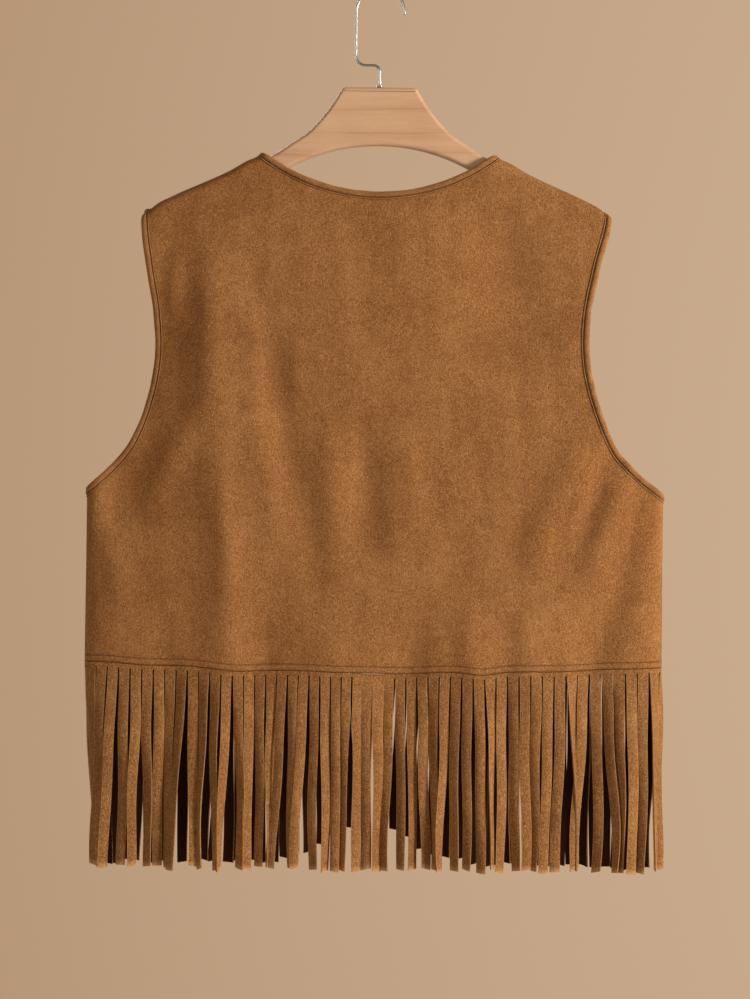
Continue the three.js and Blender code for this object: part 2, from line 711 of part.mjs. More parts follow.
function hookGeometry() {
  const at = (x, z) => new THREE.Vector3(x, 0, z);
  const eye = WIRE / 2 - HOOK_RADIUS;
  const bendTop = HOOK_BEND_LEVEL + HOOK_BEND;
  const stemTop = HOOK_BEND_LEVEL - NECK_BEND;
  const path = new THREE.CurvePath();
  path.add(new Bend(0, eye, HOOK_RADIUS, -3, 180));
  path.add(new THREE.LineCurve3(at(-HOOK_RADIUS, eye), at(-HOOK_RADIUS, bendTop)));
  path.add(new Bend(HOOK_BEND - HOOK_RADIUS, bendTop, HOOK_BEND, 180, 270));
  const shelfStart = at(HOOK_BEND - HOOK_RADIUS, HOOK_BEND_LEVEL);
  path.add(new THREE.LineCurve3(shelfStart, at(-NECK_BEND, HOOK_BEND_LEVEL)));
  path.add(new Bend(-NECK_BEND, stemTop, NECK_BEND, 90, 0));
  path.add(new THREE.LineCurve3(at(0, stemTop), at(0, STEM_END)));
  const SIDES = 8;
  const STEPS = 52;
  const section = new THREE.Shape();
  for (let i = 0; i < SIDES; i++) {
    const angle = (2 * Math.PI * i) / SIDES;
    const corner = [(WIRE / 2) * Math.cos(angle), (WIRE / 2) * Math.sin(angle)];
    if (i === 0) section.moveTo(...corner);
    else section.lineTo(...corner);
  }
  return new THREE.ExtrudeGeometry(section, { steps: STEPS, extrudePath: path, bevelEnabled: false });
}

function ferruleGeometry() {
  const foot = WOOD_TOP + SEAM_GAP;
  const top = foot + FERRULE_HEIGHT;
  const EDGE = 0.5;
  const profile = [
    [BORE / 2, foot],
    [FERRULE_DIAMETER / 2, foot],
    [FERRULE_DIAMETER / 2, top - EDGE],
    [FERRULE_DIAMETER / 2 - EDGE, top],
    [BORE / 2, top],
    [BORE / 2, foot],
  ];
  const ring = new THREE.LatheGeometry(profile.map(([r, z]) => new THREE.Vector2(r, z)), 16);
  ring.rotateX(Math.PI / 2);
  return ring;
}

// The whole object

const PIECES = [
  { name: "back_panel", geometry: back.geometry, material: suede },
  { name: "left_front", geometry: leftFront.geometry, material: suede },
  { name: "right_front", geometry: rightFront.geometry, material: suede },
  { name: "neck_binding", geometry: neckBinding(), material: suedeEdge },
  { name: "left_armhole_binding", geometry: armholeBinding(-1), material: suedeEdge },
  { name: "right_armhole_binding", geometry: armholeBinding(1), material: suedeEdge },
  { name: "back_fringe", geometry: backFringe, material: suede },
  { name: "left_front_fringe", geometry: leftFringe, material: suede },
  { name: "right_front_fringe", geometry: rightFringe, material: suede },
  { name: "hanger", geometry: hangerGeometry(), material: wood },
  { name: "hook", geometry: hookGeometry(), material: chrome },
  { name: "hook_ferrule", geometry: ferruleGeometry(), material: chrome },
];

const vest = new THREE.Group();
for (const { name, geometry, material } of PIECES) {
  const mesh = new THREE.Mesh(geometry, material);
  mesh.name = name;
  vest.add(mesh);
}

export default vest;
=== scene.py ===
# A tan suede fringe vest on a flat wooden hanger with a wire hook.
# Shapes are worked out in millimetres in the part's own frame, and made into meshes in metres.
# The back faces -Y, the open front +Y, the wearer's left is -X, and the hook holds it at the origin.

import math

import bpy
import numpy as np
from mathutils import Matrix, Vector


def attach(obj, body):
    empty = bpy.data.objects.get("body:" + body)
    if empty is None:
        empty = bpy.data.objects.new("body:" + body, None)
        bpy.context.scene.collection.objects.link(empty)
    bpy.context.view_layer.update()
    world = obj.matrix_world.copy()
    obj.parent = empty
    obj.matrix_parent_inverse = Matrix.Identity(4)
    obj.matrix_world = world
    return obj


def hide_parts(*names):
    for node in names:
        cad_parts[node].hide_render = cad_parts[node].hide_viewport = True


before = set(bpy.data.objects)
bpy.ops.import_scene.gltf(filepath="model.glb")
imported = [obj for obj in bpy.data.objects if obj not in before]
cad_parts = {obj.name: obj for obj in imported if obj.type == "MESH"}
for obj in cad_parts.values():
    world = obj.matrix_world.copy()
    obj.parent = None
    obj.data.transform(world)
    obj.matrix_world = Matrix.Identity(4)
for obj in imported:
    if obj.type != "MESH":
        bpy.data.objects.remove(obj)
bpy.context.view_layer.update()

MM = 0.001


# Camera, framed as the photograph

PHOTO_HEIGHT_PX = 999
MM_PER_PX = 0.905
CAMERA_DISTANCE_MM = 2500
CAMERA_HEIGHT_MM = -461.7
PHOTO_TILT_DEG = 0.66
SENSOR_MM = 36


def make_camera():
    data = bpy.data.cameras.new("camera")
    data.sensor_width = SENSOR_MM
    data.lens = SENSOR_MM * CAMERA_DISTANCE_MM / (PHOTO_HEIGHT_PX * MM_PER_PX)
    camera = bpy.data.objects.new("camera", data)
    bpy.context.scene.collection.objects.link(camera)
    place = Matrix.Translation(Vector((0, -CAMERA_DISTANCE_MM, CAMERA_HEIGHT_MM)) * MM)
    level = Matrix.Rotation(math.radians(90), 4, "X")
    roll = Matrix.Rotation(math.radians(PHOTO_TILT_DEG), 4, "Z")
    camera.matrix_world = place @ level @ roll
    bpy.context.scene.camera = camera


make_camera()


# Sizes of the garment, in millimetres

CLOTH = 1.4
SHOULDER_RISE_SHARE = 0.57
SEAM_GAP = 0.3
HALF_CHEST = 260
HEM_SIDE = -610.5
HEM_SAG = 6.9
SHOULDER_DEPTH = 10
SHOULDER_ROUND = 8
# Below the shoulder line and in from the side, where folds begin and where they are whole
SHOULDER_FREE = 15
SHOULDER_LOOSE = 60
SIDE_LOOSE = 30
FULLNESS = 14.5
FULLNESS_REACH = 120
SECTION_POWER = 4
NECK_HALF = 110
NECK_LOW = -192
NECK_EXTENSION = 27.5
V_LOW = -334
V_POWER = 1.3
FRONT_EDGE = 12.5
CORNER_LANES = 9
CORNER_RADIUS = 112
BACK_STRANDS = 53
FRONT_STRANDS = 25
STRAND_GROWTH = 0.065
STRIP_HEIGHT = 3.5
FRINGE_END = -793.5
FRONT_SCOOP = 8

# Top of the cloth along the shoulder: distance across, height
SHOULDER = [
    (103, -148), (110, -152.5), (120, -157), (135, -165.8), (157, -176),
    (176, -184.3), (188, -190), (200, -196.3), (212, -207), (262, -237),
]
# Armhole seams, from the underarm to the shoulder tip: height, half width left, half width right
ARMHOLE = [
    (-463, 260, 260), (-442, 237.4, 232.6), (-419, 217.6, 211.6), (-382, 201.8, 195.4), (-341, 193.3, 185.1),
    (-299, 194, 184.5), (-249, 202.1, 193.7), (-211, 206.6, 203.6), (-199.8, 204.5, 203.5),
]
UNDERARM = ARMHOLE[0][0]

# Share of a fold's length over which each end fades
FOLD_FADE = 0.35
# Main folds: top x, top z, foot x, foot z, half width, rise outwards
BACK_FOLDS = [
    (-150, -250, -148, -385, 19, 3.6),
    (-142, -385, -131, -625, 20, 5),
    (-200, -262, -235, -490, 42, -10),
    (-120, -355, -80, -505, 16, 2.6),
    (-98, -305, -64, -505, 17, -4.4),
    (-42, -400, -36, -500, 12, 2.5),
    (-12, -400, -8, -505, 14, -2.5),
    (20, -410, 22, -510, 13, 2),
    (90, -400, 92, -470, 9, -1.5),
    (118, -215, 134, -335, 30, -4.5),
    (190, -400, 142, -510, 16, 4.5),
    (207, -425, 170, -530, 13, -2.6),
    (222, -440, 198, -515, 11, 3),
    (236, -470, 206, -600, 14, -4),
    (-244, -490, -224, -560, 13, 3),
    (-190, -570, -190, -640, 16, -3),
    (-98, -570, -98, -640, 15, -3),
    (-33, -575, -33, -640, 18, 2.5),
    (37, -570, 37, -640, 16, -2.5),
    (86, -560, 86, -640, 12, 3),
    (138, -575, 138, -640, 13, 2),
    (190, -560, 192, -640, 16, -3.5),
]
FRONT_FOLDS = [
    (-168, -260, -150, -470, 24, 4),
    (-110, -300, -95, -560, 20, -4),
    (-60, -350, -52, -500, 16, 3.5),
    (-205, -480, -190, -620, 18, -4),
    (158, -255, 150, -450, 22, 4.5),
    (104, -330, 98, -590, 20, -4),
    (55, -360, 58, -520, 16, 3),
    (206, -470, 196, -620, 18, -3.5),
]

# Sharper creases that lie on the main folds of the back, in the same order of values
BACK_CREASES = [
    (-152, -262, -150, -385, 9, 0.8),
    (-156, -375, -204, -465, 15, 2.6),
    (-180, -246, -184, -292, 8, 1.9),
    (-134, -470, -131, -600, 9, 1.8),
    (-112, -300, -108, -385, 8, 1.2),
    (-70, -300, -74, -385, 10, 0.8),
    (-10, -400, -6, -510, 18, -1.2),
    (34, -415, 36, -495, 8, 1.4),
    (112, -460, 110, -500, 9, 1.6),
    (200, -415, 172, -500, 9, 2.8),
    (230, -436, 219, -510, 8, 1.2),
    (98, -185, 108, -335, 40, -5),
    (-92, -560, -92, -640, 26, -1.8),
    (28, -570, 28, -640, 20, -1.6),
    (124, -565, 124, -640, 17, -1.8),
    (198, -560, 200, -640, 24, -1.8),
]

# How each strand of the back hangs, from the wearer's left to right:
# sideways drift half way down and at the foot, twist at the foot in degrees, and lift off its neighbours
BACK_HANG = [
    (3.0, 8.0, -12, -3.5), (1.0, 5.0, 52, -3.5), (-3.0, -4.3, 15, 0.5), (-3.7, -7.3, -32, -0.5),
    (-0.5, -1.0, 20, 0.5), (-1.0, -2.8, -34, 1.0), (-0.3, 2.1, 50, -1.0), (0.5, -0.6, -12, 0.5),
    (-1.0, -1.4, 32, -1.5), (-2.8, -9.0, 38, 1.5), (0.5, 1.9, -20, 0.0), (-2.5, -3.1, 62, -1.5),
    (-1.1, 1.3, 56, 0.5), (-1.8, -5.4, -62, 1.5), (3.2, 4.1, 60, -2.5), (-0.5, -0.5, -15, 1.0),
    (0.0, 1.4, 44, -1.0), (-0.3, -0.6, -70, -1.0), (-1.8, -8.0, 15, 1.5), (-0.3, -1.2, 54, -2.5),
    (-3.1, -6.5, -24, 1.5), (-0.4, -0.2, 24, 0.0), (0.9, 1.6, -45, 0.5), (0.4, 0.9, 12, 0.0),
    (-1.6, -2.0, 60, -2.5), (-0.2, 0.5, -26, 0.5), (-0.5, -0.1, 20, 0.0), (-0.5, 0.9, -38, 0.5),
    (-1.4, -2.7, 40, 0.0), (1.1, 2.5, 44, 0.5), (1.5, 2.8, -36, 0.0), (1.7, 4.2, -30, 0.5),
    (0.9, 2.0, 62, -2.0), (-1.1, -3.3, -60, 1.0), (-1.1, 0.2, 32, 0.0), (0.6, 1.0, 30, 0.0),
    (2.4, 3.7, 36, -0.5), (2.9, 2.5, -70, 1.0), (0.5, 0.4, -24, 0.5), (1.3, 4.1, 28, 0.5),
    (0.6, 2.8, -20, -0.5), (0.4, -1.1, 52, -2.0), (-0.5, -2.5, -16, 1.0), (0.5, -3.1, 14, 0.0),
    (4.9, 6.5, -84, -3.0), (-2.7, -6.9, -14, 2.0), (4.3, 2.7, 26, 0.5), (5.2, 9.0, 46, -0.5),
    (2.7, 3.4, 62, -2.5), (2.7, 1.8, -20, 1.0), (1.1, 0.0, 50, -1.5), (2.0, 2.4, -56, 1.0),
    (0.8, 1.2, 76, -2.0),
]


# Small mathematics, on whole arrays

NO_LENGTH = 1e-9
# How many waves a ripple is made of, and how much shorter and longer than asked they are
RIPPLE_WAVES = 9
WAVE_SPREAD = (0.7, 1.5)


def lerp(a, b, t):
    return a + (b - a) * t


def smooth(value, low, high):
    t = np.clip((value - low) / (high - low), 0, 1)
    return t * t * (3 - 2 * t)


def bell(distance, half):
    return np.exp(-((distance / half) ** 2))


def curve_through(rows, column):
    """A smooth curve through a table: its first column is the distance, rising, and column is the value."""
    at = np.array([row[0] for row in rows], float)
    value = np.array([row[column] for row in rows], float)
    slope = np.empty_like(value)
    slope[1:-1] = (value[2:] - value[:-2]) / (at[2:] - at[:-2])
    slope[0] = (value[1] - value[0]) / (at[1] - at[0])
    slope[-1] = (value[-1] - value[-2]) / (at[-1] - at[-2])

    def curve(x):
        i = np.clip(np.searchsorted(at, x) - 1, 0, len(at) - 2)
        span = at[i + 1] - at[i]
        t = np.clip((x - at[i]) / span, 0, 1)
        rise = value[i + 1] - value[i]
        a = slope[i] * span
        b = slope[i + 1] * span
        return value[i] + t * (a + t * (3 * rise - 2 * a - b + t * (a + b - 2 * rise)))

    return curve


def ripples(x, z, wave, seed):
    """Gentle uneven waves of about that length, from -1 to 1, the same each run."""
    rng = np.random.default_rng(seed)
    total = 0
    for _ in range(RIPPLE_WAVES):
        turn = rng.uniform(0, 2 * math.pi)
        step = 2 * math.pi / (wave * rng.uniform(*WAVE_SPREAD))
        start = rng.uniform(0, 2 * math.pi)
        total = total + np.cos(step * (x * math.cos(turn) + z * math.sin(turn)) + start)
    return total / math.sqrt(RIPPLE_WAVES * 2)


def unit(vectors):
    return vectors / np.maximum(np.linalg.norm(vectors, axis=-1, keepdims=True), NO_LENGTH)


def running_length(points):
    return np.concatenate([[0], np.cumsum(np.linalg.norm(np.diff(points, axis=0), axis=1))])


def values_along(values, length, at):
    """Each of the three columns of values, read at places along a line."""
    return np.stack([np.interp(at, length, values[:, k]) for k in range(3)], -1)


# The garment's lines, as in the frame's solids

shoulder_top = curve_through(SHOULDER, 1)
armhole_left = curve_through(ARMHOLE, 1)
armhole_right = curve_through(ARMHOLE, 2)
SHOULDER_RISE = CLOTH * SHOULDER_RISE_SHARE
NECK_POINT = float(shoulder_top(NECK_HALF)) - SHOULDER_RISE


def arc_radius(half, sag):
    return (half * half + sag * sag) / (2 * sag)


NECK_RADIUS = arc_radius(NECK_HALF, NECK_POINT - NECK_LOW)
HEM_RADIUS = arc_radius(HALF_CHEST, HEM_SAG)
TIP_HEIGHT = ARMHOLE[-1][0]
TIP = float(shoulder_top(ARMHOLE[-1][1])) - SHOULDER_RISE


def shoulder_line(x):
    across = np.abs(x)
    arch = NECK_POINT + NECK_EXTENSION * (1 - (across / NECK_HALF) ** 2)
    return np.where(across < NECK_HALF, arch, shoulder_top(across) - SHOULDER_RISE)


def back_neck(x):
    return NECK_LOW + NECK_RADIUS - np.sqrt(NECK_RADIUS**2 - np.minimum(np.abs(x), NECK_HALF) ** 2)


def back_top(x):
    return np.where(np.abs(x) < NECK_HALF, back_neck(x), shoulder_line(x))


def hem(x):
    return HEM_SIDE - HEM_SAG + HEM_RADIUS - np.sqrt(HEM_RADIUS**2 - x * x)


def side_half(height, side, is_front):
    width = (armhole_left if side < 0 else armhole_right)(height)
    rise = np.clip((height - UNDERARM) / (TIP_HEIGHT - UNDERARM), 0, 1)
    if is_front:
        width = width - FRONT_SCOOP * np.sin(math.pi * rise)
    return np.where(height <= UNDERARM, HALF_CHEST, width)


def front_edge(height):
    up = np.maximum(0, (height - V_LOW) / (NECK_POINT - V_LOW))
    return FRONT_EDGE + (NECK_HALF - FRONT_EDGE) * up**V_POWER


LANE_SAMPLES = 4001


def lane_stations(start, end, count, growth=0.0):
    """Distances from the middle that part the hem into lanes, each a little wider than the last."""
    x = start + (end - start) * np.sin(np.linspace(0, math.pi / 2, LANE_SAMPLES))
    y = (SHOULDER_DEPTH + FULLNESS) * (1 - (x / HALF_CHEST) ** SECTION_POWER) ** (1 / SECTION_POWER)
    length = np.concatenate([[0], np.cumsum(np.hypot(np.diff(x), np.diff(y)))])
    share = np.linspace(0, 1, count + 1)
    return np.interp(length[-1] * (share + growth * (share**2 - share)), length, x)


back_lanes_left = lane_stations(0, HALF_CHEST, (BACK_STRANDS + 1) // 2, STRAND_GROWTH)
back_lanes_right = lane_stations(0, HALF_CHEST, BACK_STRANDS // 2, STRAND_GROWTH)
front_lanes = lane_stations(FRONT_EDGE, HALF_CHEST, FRONT_STRANDS)
CORNER_START = front_lanes[CORNER_LANES]


def front_hem(x):
    into = np.maximum(0, CORNER_START - np.abs(x))
    return hem(x) + CORNER_RADIUS - np.sqrt(CORNER_RADIUS**2 - into * into)


def fold_rise(folds, x, z):
    rise = 0
    for top_x, top_z, foot_x, foot_z, width, out in folds:
        run_x = foot_x - top_x
        run_z = foot_z - top_z
        length = math.hypot(run_x, run_z)
        along = ((x - top_x) * run_x + (z - top_z) * run_z) / length
        aside = ((x - top_x) * run_z - (z - top_z) * run_x) / length
        fade = FOLD_FADE * length
        ends = smooth(along, -fade, fade) * smooth(length - along, -fade, fade)
        rise = rise + out * ends * bell(aside, width)
    return rise


# Small form that the solids leave out

# Where the hem seam draws up or sags a little: distance across, rise, half width
HEM_WAVES = [
    (-236, 1.2, 20), (-170, 1.5, 26), (-122, -1.3, 20), (-66, 0.9, 26), (22, -0.7, 24),
    (66, 0.9, 18), (98, -2.0, 13), (134, 0.7, 20), (215, 0.8, 22),
]
HEM_WAVE_REACH = 22
STITCH_ABOVE_HEM = 5.7
STITCH_GROOVE = 0.5
STITCH_GROOVE_HALF = 0.9
HEM_PAD = 0.4
# The padding ends between this far below its stitches and this far above them
HEM_PAD_BELOW = 1.2
HEM_PAD_ABOVE = 0.6
HEM_ROLL = 0.75
HEM_ROLL_HALF = 0.8
PUCKER_RISE = 0.3
PUCKER_WAVE = 13
PUCKER_REACH = 7
CREASE_RISE = 0.3
CREASE_WAVE = 34
CREASE_SHRINK = 0.45
NAP_RISE = 0.08
NAP_WAVE = 9
# Below the shoulder line, where the small form begins and is whole, and the same in from the side
SMALL_FORM_FREE = 2
SMALL_FORM_LOOSE = 20
SMALL_FORM_SIDE = 12
SLOPE_STEP = 0.05


def hem_wave(x):
    return sum(rise * bell(x - at, half) for at, rise, half in HEM_WAVES)


def small_form(x, z, edge, seed):
    """Soft creases all over, and the hem's stitched groove, padding, rolled edge and puckers."""
    above = z - edge(x)
    from_stitches = above - STITCH_ABOVE_HEM
    roll = HEM_ROLL * bell(above, HEM_ROLL_HALF)
    creases = CREASE_RISE * ripples(x, CREASE_SHRINK * z, CREASE_WAVE, seed)
    dimples = NAP_RISE * ripples(x, z, NAP_WAVE, seed + 1)
    pad = HEM_PAD * (1 - smooth(above, STITCH_ABOVE_HEM - HEM_PAD_BELOW, STITCH_ABOVE_HEM + HEM_PAD_ABOVE))
    groove = STITCH_GROOVE * bell(from_stitches, STITCH_GROOVE_HALF)
    pucker = PUCKER_RISE * ripples(x, 0 * z, PUCKER_WAVE, seed + 2) * bell(from_stitches, PUCKER_REACH)
    return creases + dimples + pad - roll - groove + pucker


class Side:
    """The back's or the fronts' middle surface: facing is -1 for the back and 1 for the fronts."""

    def __init__(self, facing, folds, edge, seed):
        self.facing = facing
        self.folds = folds
        self.edge = edge
        self.seed = seed

    def depth(self, x, z):
        below = np.maximum(0, shoulder_line(x) - z)
        over = np.minimum(1, below / SHOULDER_ROUND)
        under_round = np.maximum(0, below - SHOULDER_ROUND)
        grown = SHOULDER_DEPTH + FULLNESS * (1 - np.exp(-under_round / FULLNESS_REACH))
        across = np.minimum(1, np.abs(x) / HALF_CHEST)
        oval = (1 - across**SECTION_POWER) ** (1 / SECTION_POWER)
        inwards = HALF_CHEST - np.abs(x)
        free = smooth(below, SHOULDER_FREE, SHOULDER_LOOSE) * smooth(inwards, 0, SIDE_LOOSE)
        small = smooth(below, SMALL_FORM_FREE, SMALL_FORM_LOOSE) * smooth(inwards, 0, SMALL_FORM_SIDE)
        form = free * fold_rise(self.folds, x, z) + small * small_form(x, z, self.edge, self.seed)
        return SEAM_GAP / 2 + grown * np.sqrt(1 - (1 - over) ** 2) * oval + form

    def plain_depth(self, x, z):
        """The depth at the hem without its padding, where the fringe's strip hangs."""
        return self.depth(x, z) - HEM_PAD + HEM_ROLL

    def at(self, x, z):
        lift = hem_wave(x) * bell(z - self.edge(x), HEM_WAVE_REACH) if self.facing < 0 else 0
        return np.stack([x, self.facing * self.depth(x, z), z + lift], -1)

    def normal(self, x, z):
        step = SLOPE_STEP
        inside = np.clip(x, step - HALF_CHEST, HALF_CHEST - step)
        per_x = (self.depth(inside + step, z) - self.depth(inside - step, z)) / (2 * step)
        per_z = (self.depth(inside, z + step) - self.depth(inside, z - step)) / (2 * step)
        return unit(np.stack([-per_x, np.full_like(per_x, self.facing), -per_z], -1))


back_side = Side(-1, BACK_FOLDS + BACK_CREASES, hem, seed=11)
front_side = Side(1, FRONT_FOLDS, front_hem, seed=23)


# Meshes

# Kinds of a wall's faces, in the order of its materials
OUTSIDE = 0
INSIDE = 1
EDGE = 2


def make_object(name, points, faces, materials, face_slots=None, attributes=None):
    """A mesh object from points in millimetres. attributes are numbers given to each point by name."""
    mesh = bpy.data.meshes.new(name)
    mesh.from_pydata((np.asarray(points) * MM).tolist(), [], [list(face) for face in faces])
    for material in materials:
        mesh.materials.append(material)
    if face_slots is not None:
        mesh.polygons.foreach_set("material_index", np.asarray(face_slots, np.int32))
    for key, values in (attributes or {}).items():
        layer = mesh.attributes.new(key, "FLOAT", "POINT")
        layer.data.foreach_set("value", np.asarray(values, np.float32))
    mesh.polygons.foreach_set("use_smooth", np.full(len(mesh.polygons), True))
    mesh.update()
    thing = bpy.data.objects.new(name, mesh)
    bpy.context.scene.collection.objects.link(thing)
    return thing


def wall(points, normals, cells, thickness=CLOTH):
    """Points, faces and face kinds of a wall round a middle surface."""
    cells = np.asarray(cells)
    count = len(points)
    shell = np.concatenate([points + normals * thickness / 2, points - normals * thickness / 2])
    outside = [tuple(cell) for cell in cells]
    inside = [tuple(count + cell[::-1]) for cell in cells]
    edges = {(int(cell[i]), int(cell[(i + 1) % 4])) for cell in cells for i in range(4)}
    rim = [(a, a + count, b + count, b) for a, b in sorted(edges) if (b, a) not in edges]
    kinds = [OUTSIDE] * len(outside) + [INSIDE] * len(inside) + [EDGE] * len(rim)
    return shell, outside + inside + rim, kinds


def grid_cells(rows, columns, flipped):
    r, c = np.meshgrid(np.arange(rows - 1), np.arange(columns - 1), indexing="ij")
    a = (r * columns + c).ravel()
    cells = np.stack([a, a + 1, a + 1 + columns, a + columns], -1)
    return cells[:, ::-1] if flipped else cells


def tube_faces(rings, sides, closed=False):
    """Faces that join rings of points, each to the next, and where it is closed the last to the first."""
    faces = []
    for r in range(rings if closed else rings - 1):
        low = r * sides
        high = (r + 1) % rings * sides
        for k in range(sides):
            m = (k + 1) % sides
            faces.append((low + k, low + m, high + m, high + k))
    return faces


def end_faces(rings, sides):
    last = (rings - 1) * sides
    return [tuple(range(sides))[::-1], tuple(range(last, last + sides))]


def mark_sharp(thing, kinds):
    """Edges between a cut rim and a face stay sharp, so that the cloth's thickness reads."""
    mesh = thing.data
    sides = {}
    for polygon in mesh.polygons:
        for key in polygon.edge_keys:
            sides.setdefault(key, set()).add(kinds[polygon.index] == EDGE)
    sharp = [len(sides[edge.key]) == 2 for edge in mesh.edges]
    mesh.edges.foreach_set("use_edge_sharp", sharp)


def face_out(thing):
    """Turns a closed mesh's faces outward if its volume comes out negative."""
    mesh = thing.data
    mesh.calc_loop_triangles()
    points = np.array([vertex.co for vertex in mesh.vertices])
    corners = points[np.array([triangle.vertices for triangle in mesh.loop_triangles])]
    volume = np.einsum("ij,ij->i", corners[:, 0], np.cross(corners[:, 1], corners[:, 2])).sum()
    if volume < 0:
        mesh.flip_normals()


def stand_in(thing, node):
    """The piece takes the place of a node of the frame."""
    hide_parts(node)
    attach(thing, "root")


# Materials

# Sockets of a mix node that mixes colours
MIX_FIRST = 6
MIX_SECOND = 7
MIX_RESULT = 2


def linear(red, green, blue):
    """An sRGB colour in 0 to 255 as the linear one that shaders take."""
    def channel(value):
        value = value / 255
        return value / 12.92 if value <= 0.04045 else ((value + 0.055) / 1.055) ** 2.4
    return (channel(red), channel(green), channel(blue), 1)


class Tree:
    """A node tree, and short ways to add nodes to it. Colours are sRGB from 0 to 255."""

    def __init__(self, tree):
        self.nodes = tree.nodes
        self.links = tree.links

    def fill(self, node, inputs):
        """Gives each input another node's output or a value of its own."""
        for key, value in inputs.items():
            if isinstance(value, bpy.types.NodeSocket):
                self.links.new(value, node.inputs[key])
            else:
                node.inputs[key].default_value = value
        return node

    def add(self, kind, inputs, **settings):
        node = self.nodes.new(kind)
        for name, value in settings.items():
            setattr(node, name, value)
        return self.fill(node, inputs)

    def place(self, kind="Object"):
        return self.add("ShaderNodeTexCoord", {}).outputs[kind]

    def noise(self, vector, scale, detail, rough, distortion=0.0):
        inputs = {"Scale": scale, "Detail": detail, "Roughness": rough, "Distortion": distortion}
        return self.add("ShaderNodeTexNoise", {"Vector": vector, **inputs}).outputs["Fac"]

    def stretched(self, vector, scale):
        return self.add("ShaderNodeMapping", {"Vector": vector, "Scale": scale}).outputs["Vector"]

    def weighted_sum(self, terms, offset):
        """The sum of each output times its weight, plus an offset."""
        total = offset
        for output, weight in terms:
            node = self.add("ShaderNodeMath", {0: output, 1: weight, 2: total}, operation="MULTIPLY_ADD")
            total = node.outputs[0]
        return total

    def ramp(self, factor, stops):
        node = self.add("ShaderNodeValToRGB", {"Fac": factor})
        elements = node.color_ramp.elements
        while len(elements) < len(stops):
            elements.new(0.5)
        for element, (position, colour) in zip(elements, stops):
            element.position = position
            element.color = linear(*colour)
        return node.outputs["Color"]

    def bump(self, height, strength, distance, under=None):
        inputs = {"Height": height, "Strength": strength, "Distance": distance}
        if under is not None:
            inputs["Normal"] = under
        return self.add("ShaderNodeBump", inputs).outputs["Normal"]

    def mixed(self, factor, first, second):
        """The first colour turning into the second, a fixed one, as the factor rises."""
        inputs = {"Factor": factor, MIX_FIRST: first, MIX_SECOND: linear(*second)}
        return self.add("ShaderNodeMix", inputs, data_type="RGBA").outputs[MIX_RESULT]

    def painted(self, name, breakup, contrast):
        """An amount painted on the mesh's points, broken up by a texture."""
        mark = self.add("ShaderNodeAttribute", {}, attribute_name=name).outputs["Fac"]
        broken = self.weighted_sum([(breakup, contrast)], 1 - contrast / 2)
        inputs = {0: mark, 1: broken}
        return self.add("ShaderNodeMath", inputs, operation="MULTIPLY", use_clamp=True).outputs[0]

    def shade(self, inputs):
        self.fill(self.nodes["Principled BSDF"], inputs)


def new_material(name):
    material = bpy.data.materials.new(name)
    material.use_nodes = True
    return material, Tree(material.node_tree)


def suede(name, dark, middle, light, sheen=0.3, worn_and_highlight=None, press_and_shade=None):
    """Brushed suede: a fine speckled nap, soft clouds and long upright brush marks."""
    material, tree = new_material(name)
    place = tree.place()
    speckle = tree.noise(place, 1300, 3, 0.75)
    pile = tree.noise(tree.stretched(place, (1, 1, 0.7)), 720, 4, 0.75, 0.3)
    mottle = tree.noise(place, 78, 3, 0.6, 0.6)
    cloud = tree.noise(place, 13, 2, 0.5, 0.8)
    brush = tree.noise(tree.stretched(place, (1, 1, 0.1)), 42, 3, 0.6)
    terms = [(speckle, 1.7), (pile, 1.0), (mottle, 0.22), (cloud, 0.26), (brush, 0.22)]
    tone = tree.weighted_sum(terms, -1.2)
    colour = tree.ramp(tone, [(0.1, dark), (0.5, middle), (0.9, light)])
    # Paler where the mesh is marked: nap scuffed pale, and painted highlight on the bands' ridges and the
    # strands' edges
    if worn_and_highlight is not None:
        colour = tree.mixed(tree.painted("worn_and_highlight", speckle, 2.6), colour, worn_and_highlight)
    # Darker where the mesh is marked: nap flattened by stitching, and painted shade in the grooves of
    # stitches and seams
    if press_and_shade is not None:
        colour = tree.mixed(tree.painted("press_and_shade", mottle, 0.6), colour, press_and_shade)
    tree.shade({
        "Base Color": colour,
        "Roughness": tree.weighted_sum([(speckle, 0.12), (mottle, 0.08)], 0.8),
        "Specular IOR Level": 0.18,
        "Sheen Weight": sheen,
        "Sheen Roughness": 0.4,
        "Sheen Tint": linear(230, 174, 112),
        "Normal": tree.bump(pile, 0.6, 0.0012, under=tree.bump(speckle, 0.8, 0.0007)),
    })
    return material


def thread_material():
    material, tree = new_material("thread")
    twist = tree.noise(tree.stretched(tree.place(), (1, 1, 3)), 900, 2, 0.5)
    tree.shade({
        "Base Color": tree.ramp(twist, [(0.3, (46, 23, 10)), (0.7, (78, 43, 21))]),
        "Roughness": 0.6,
        "Normal": tree.bump(twist, 0.3, 0.0002),
    })
    return material


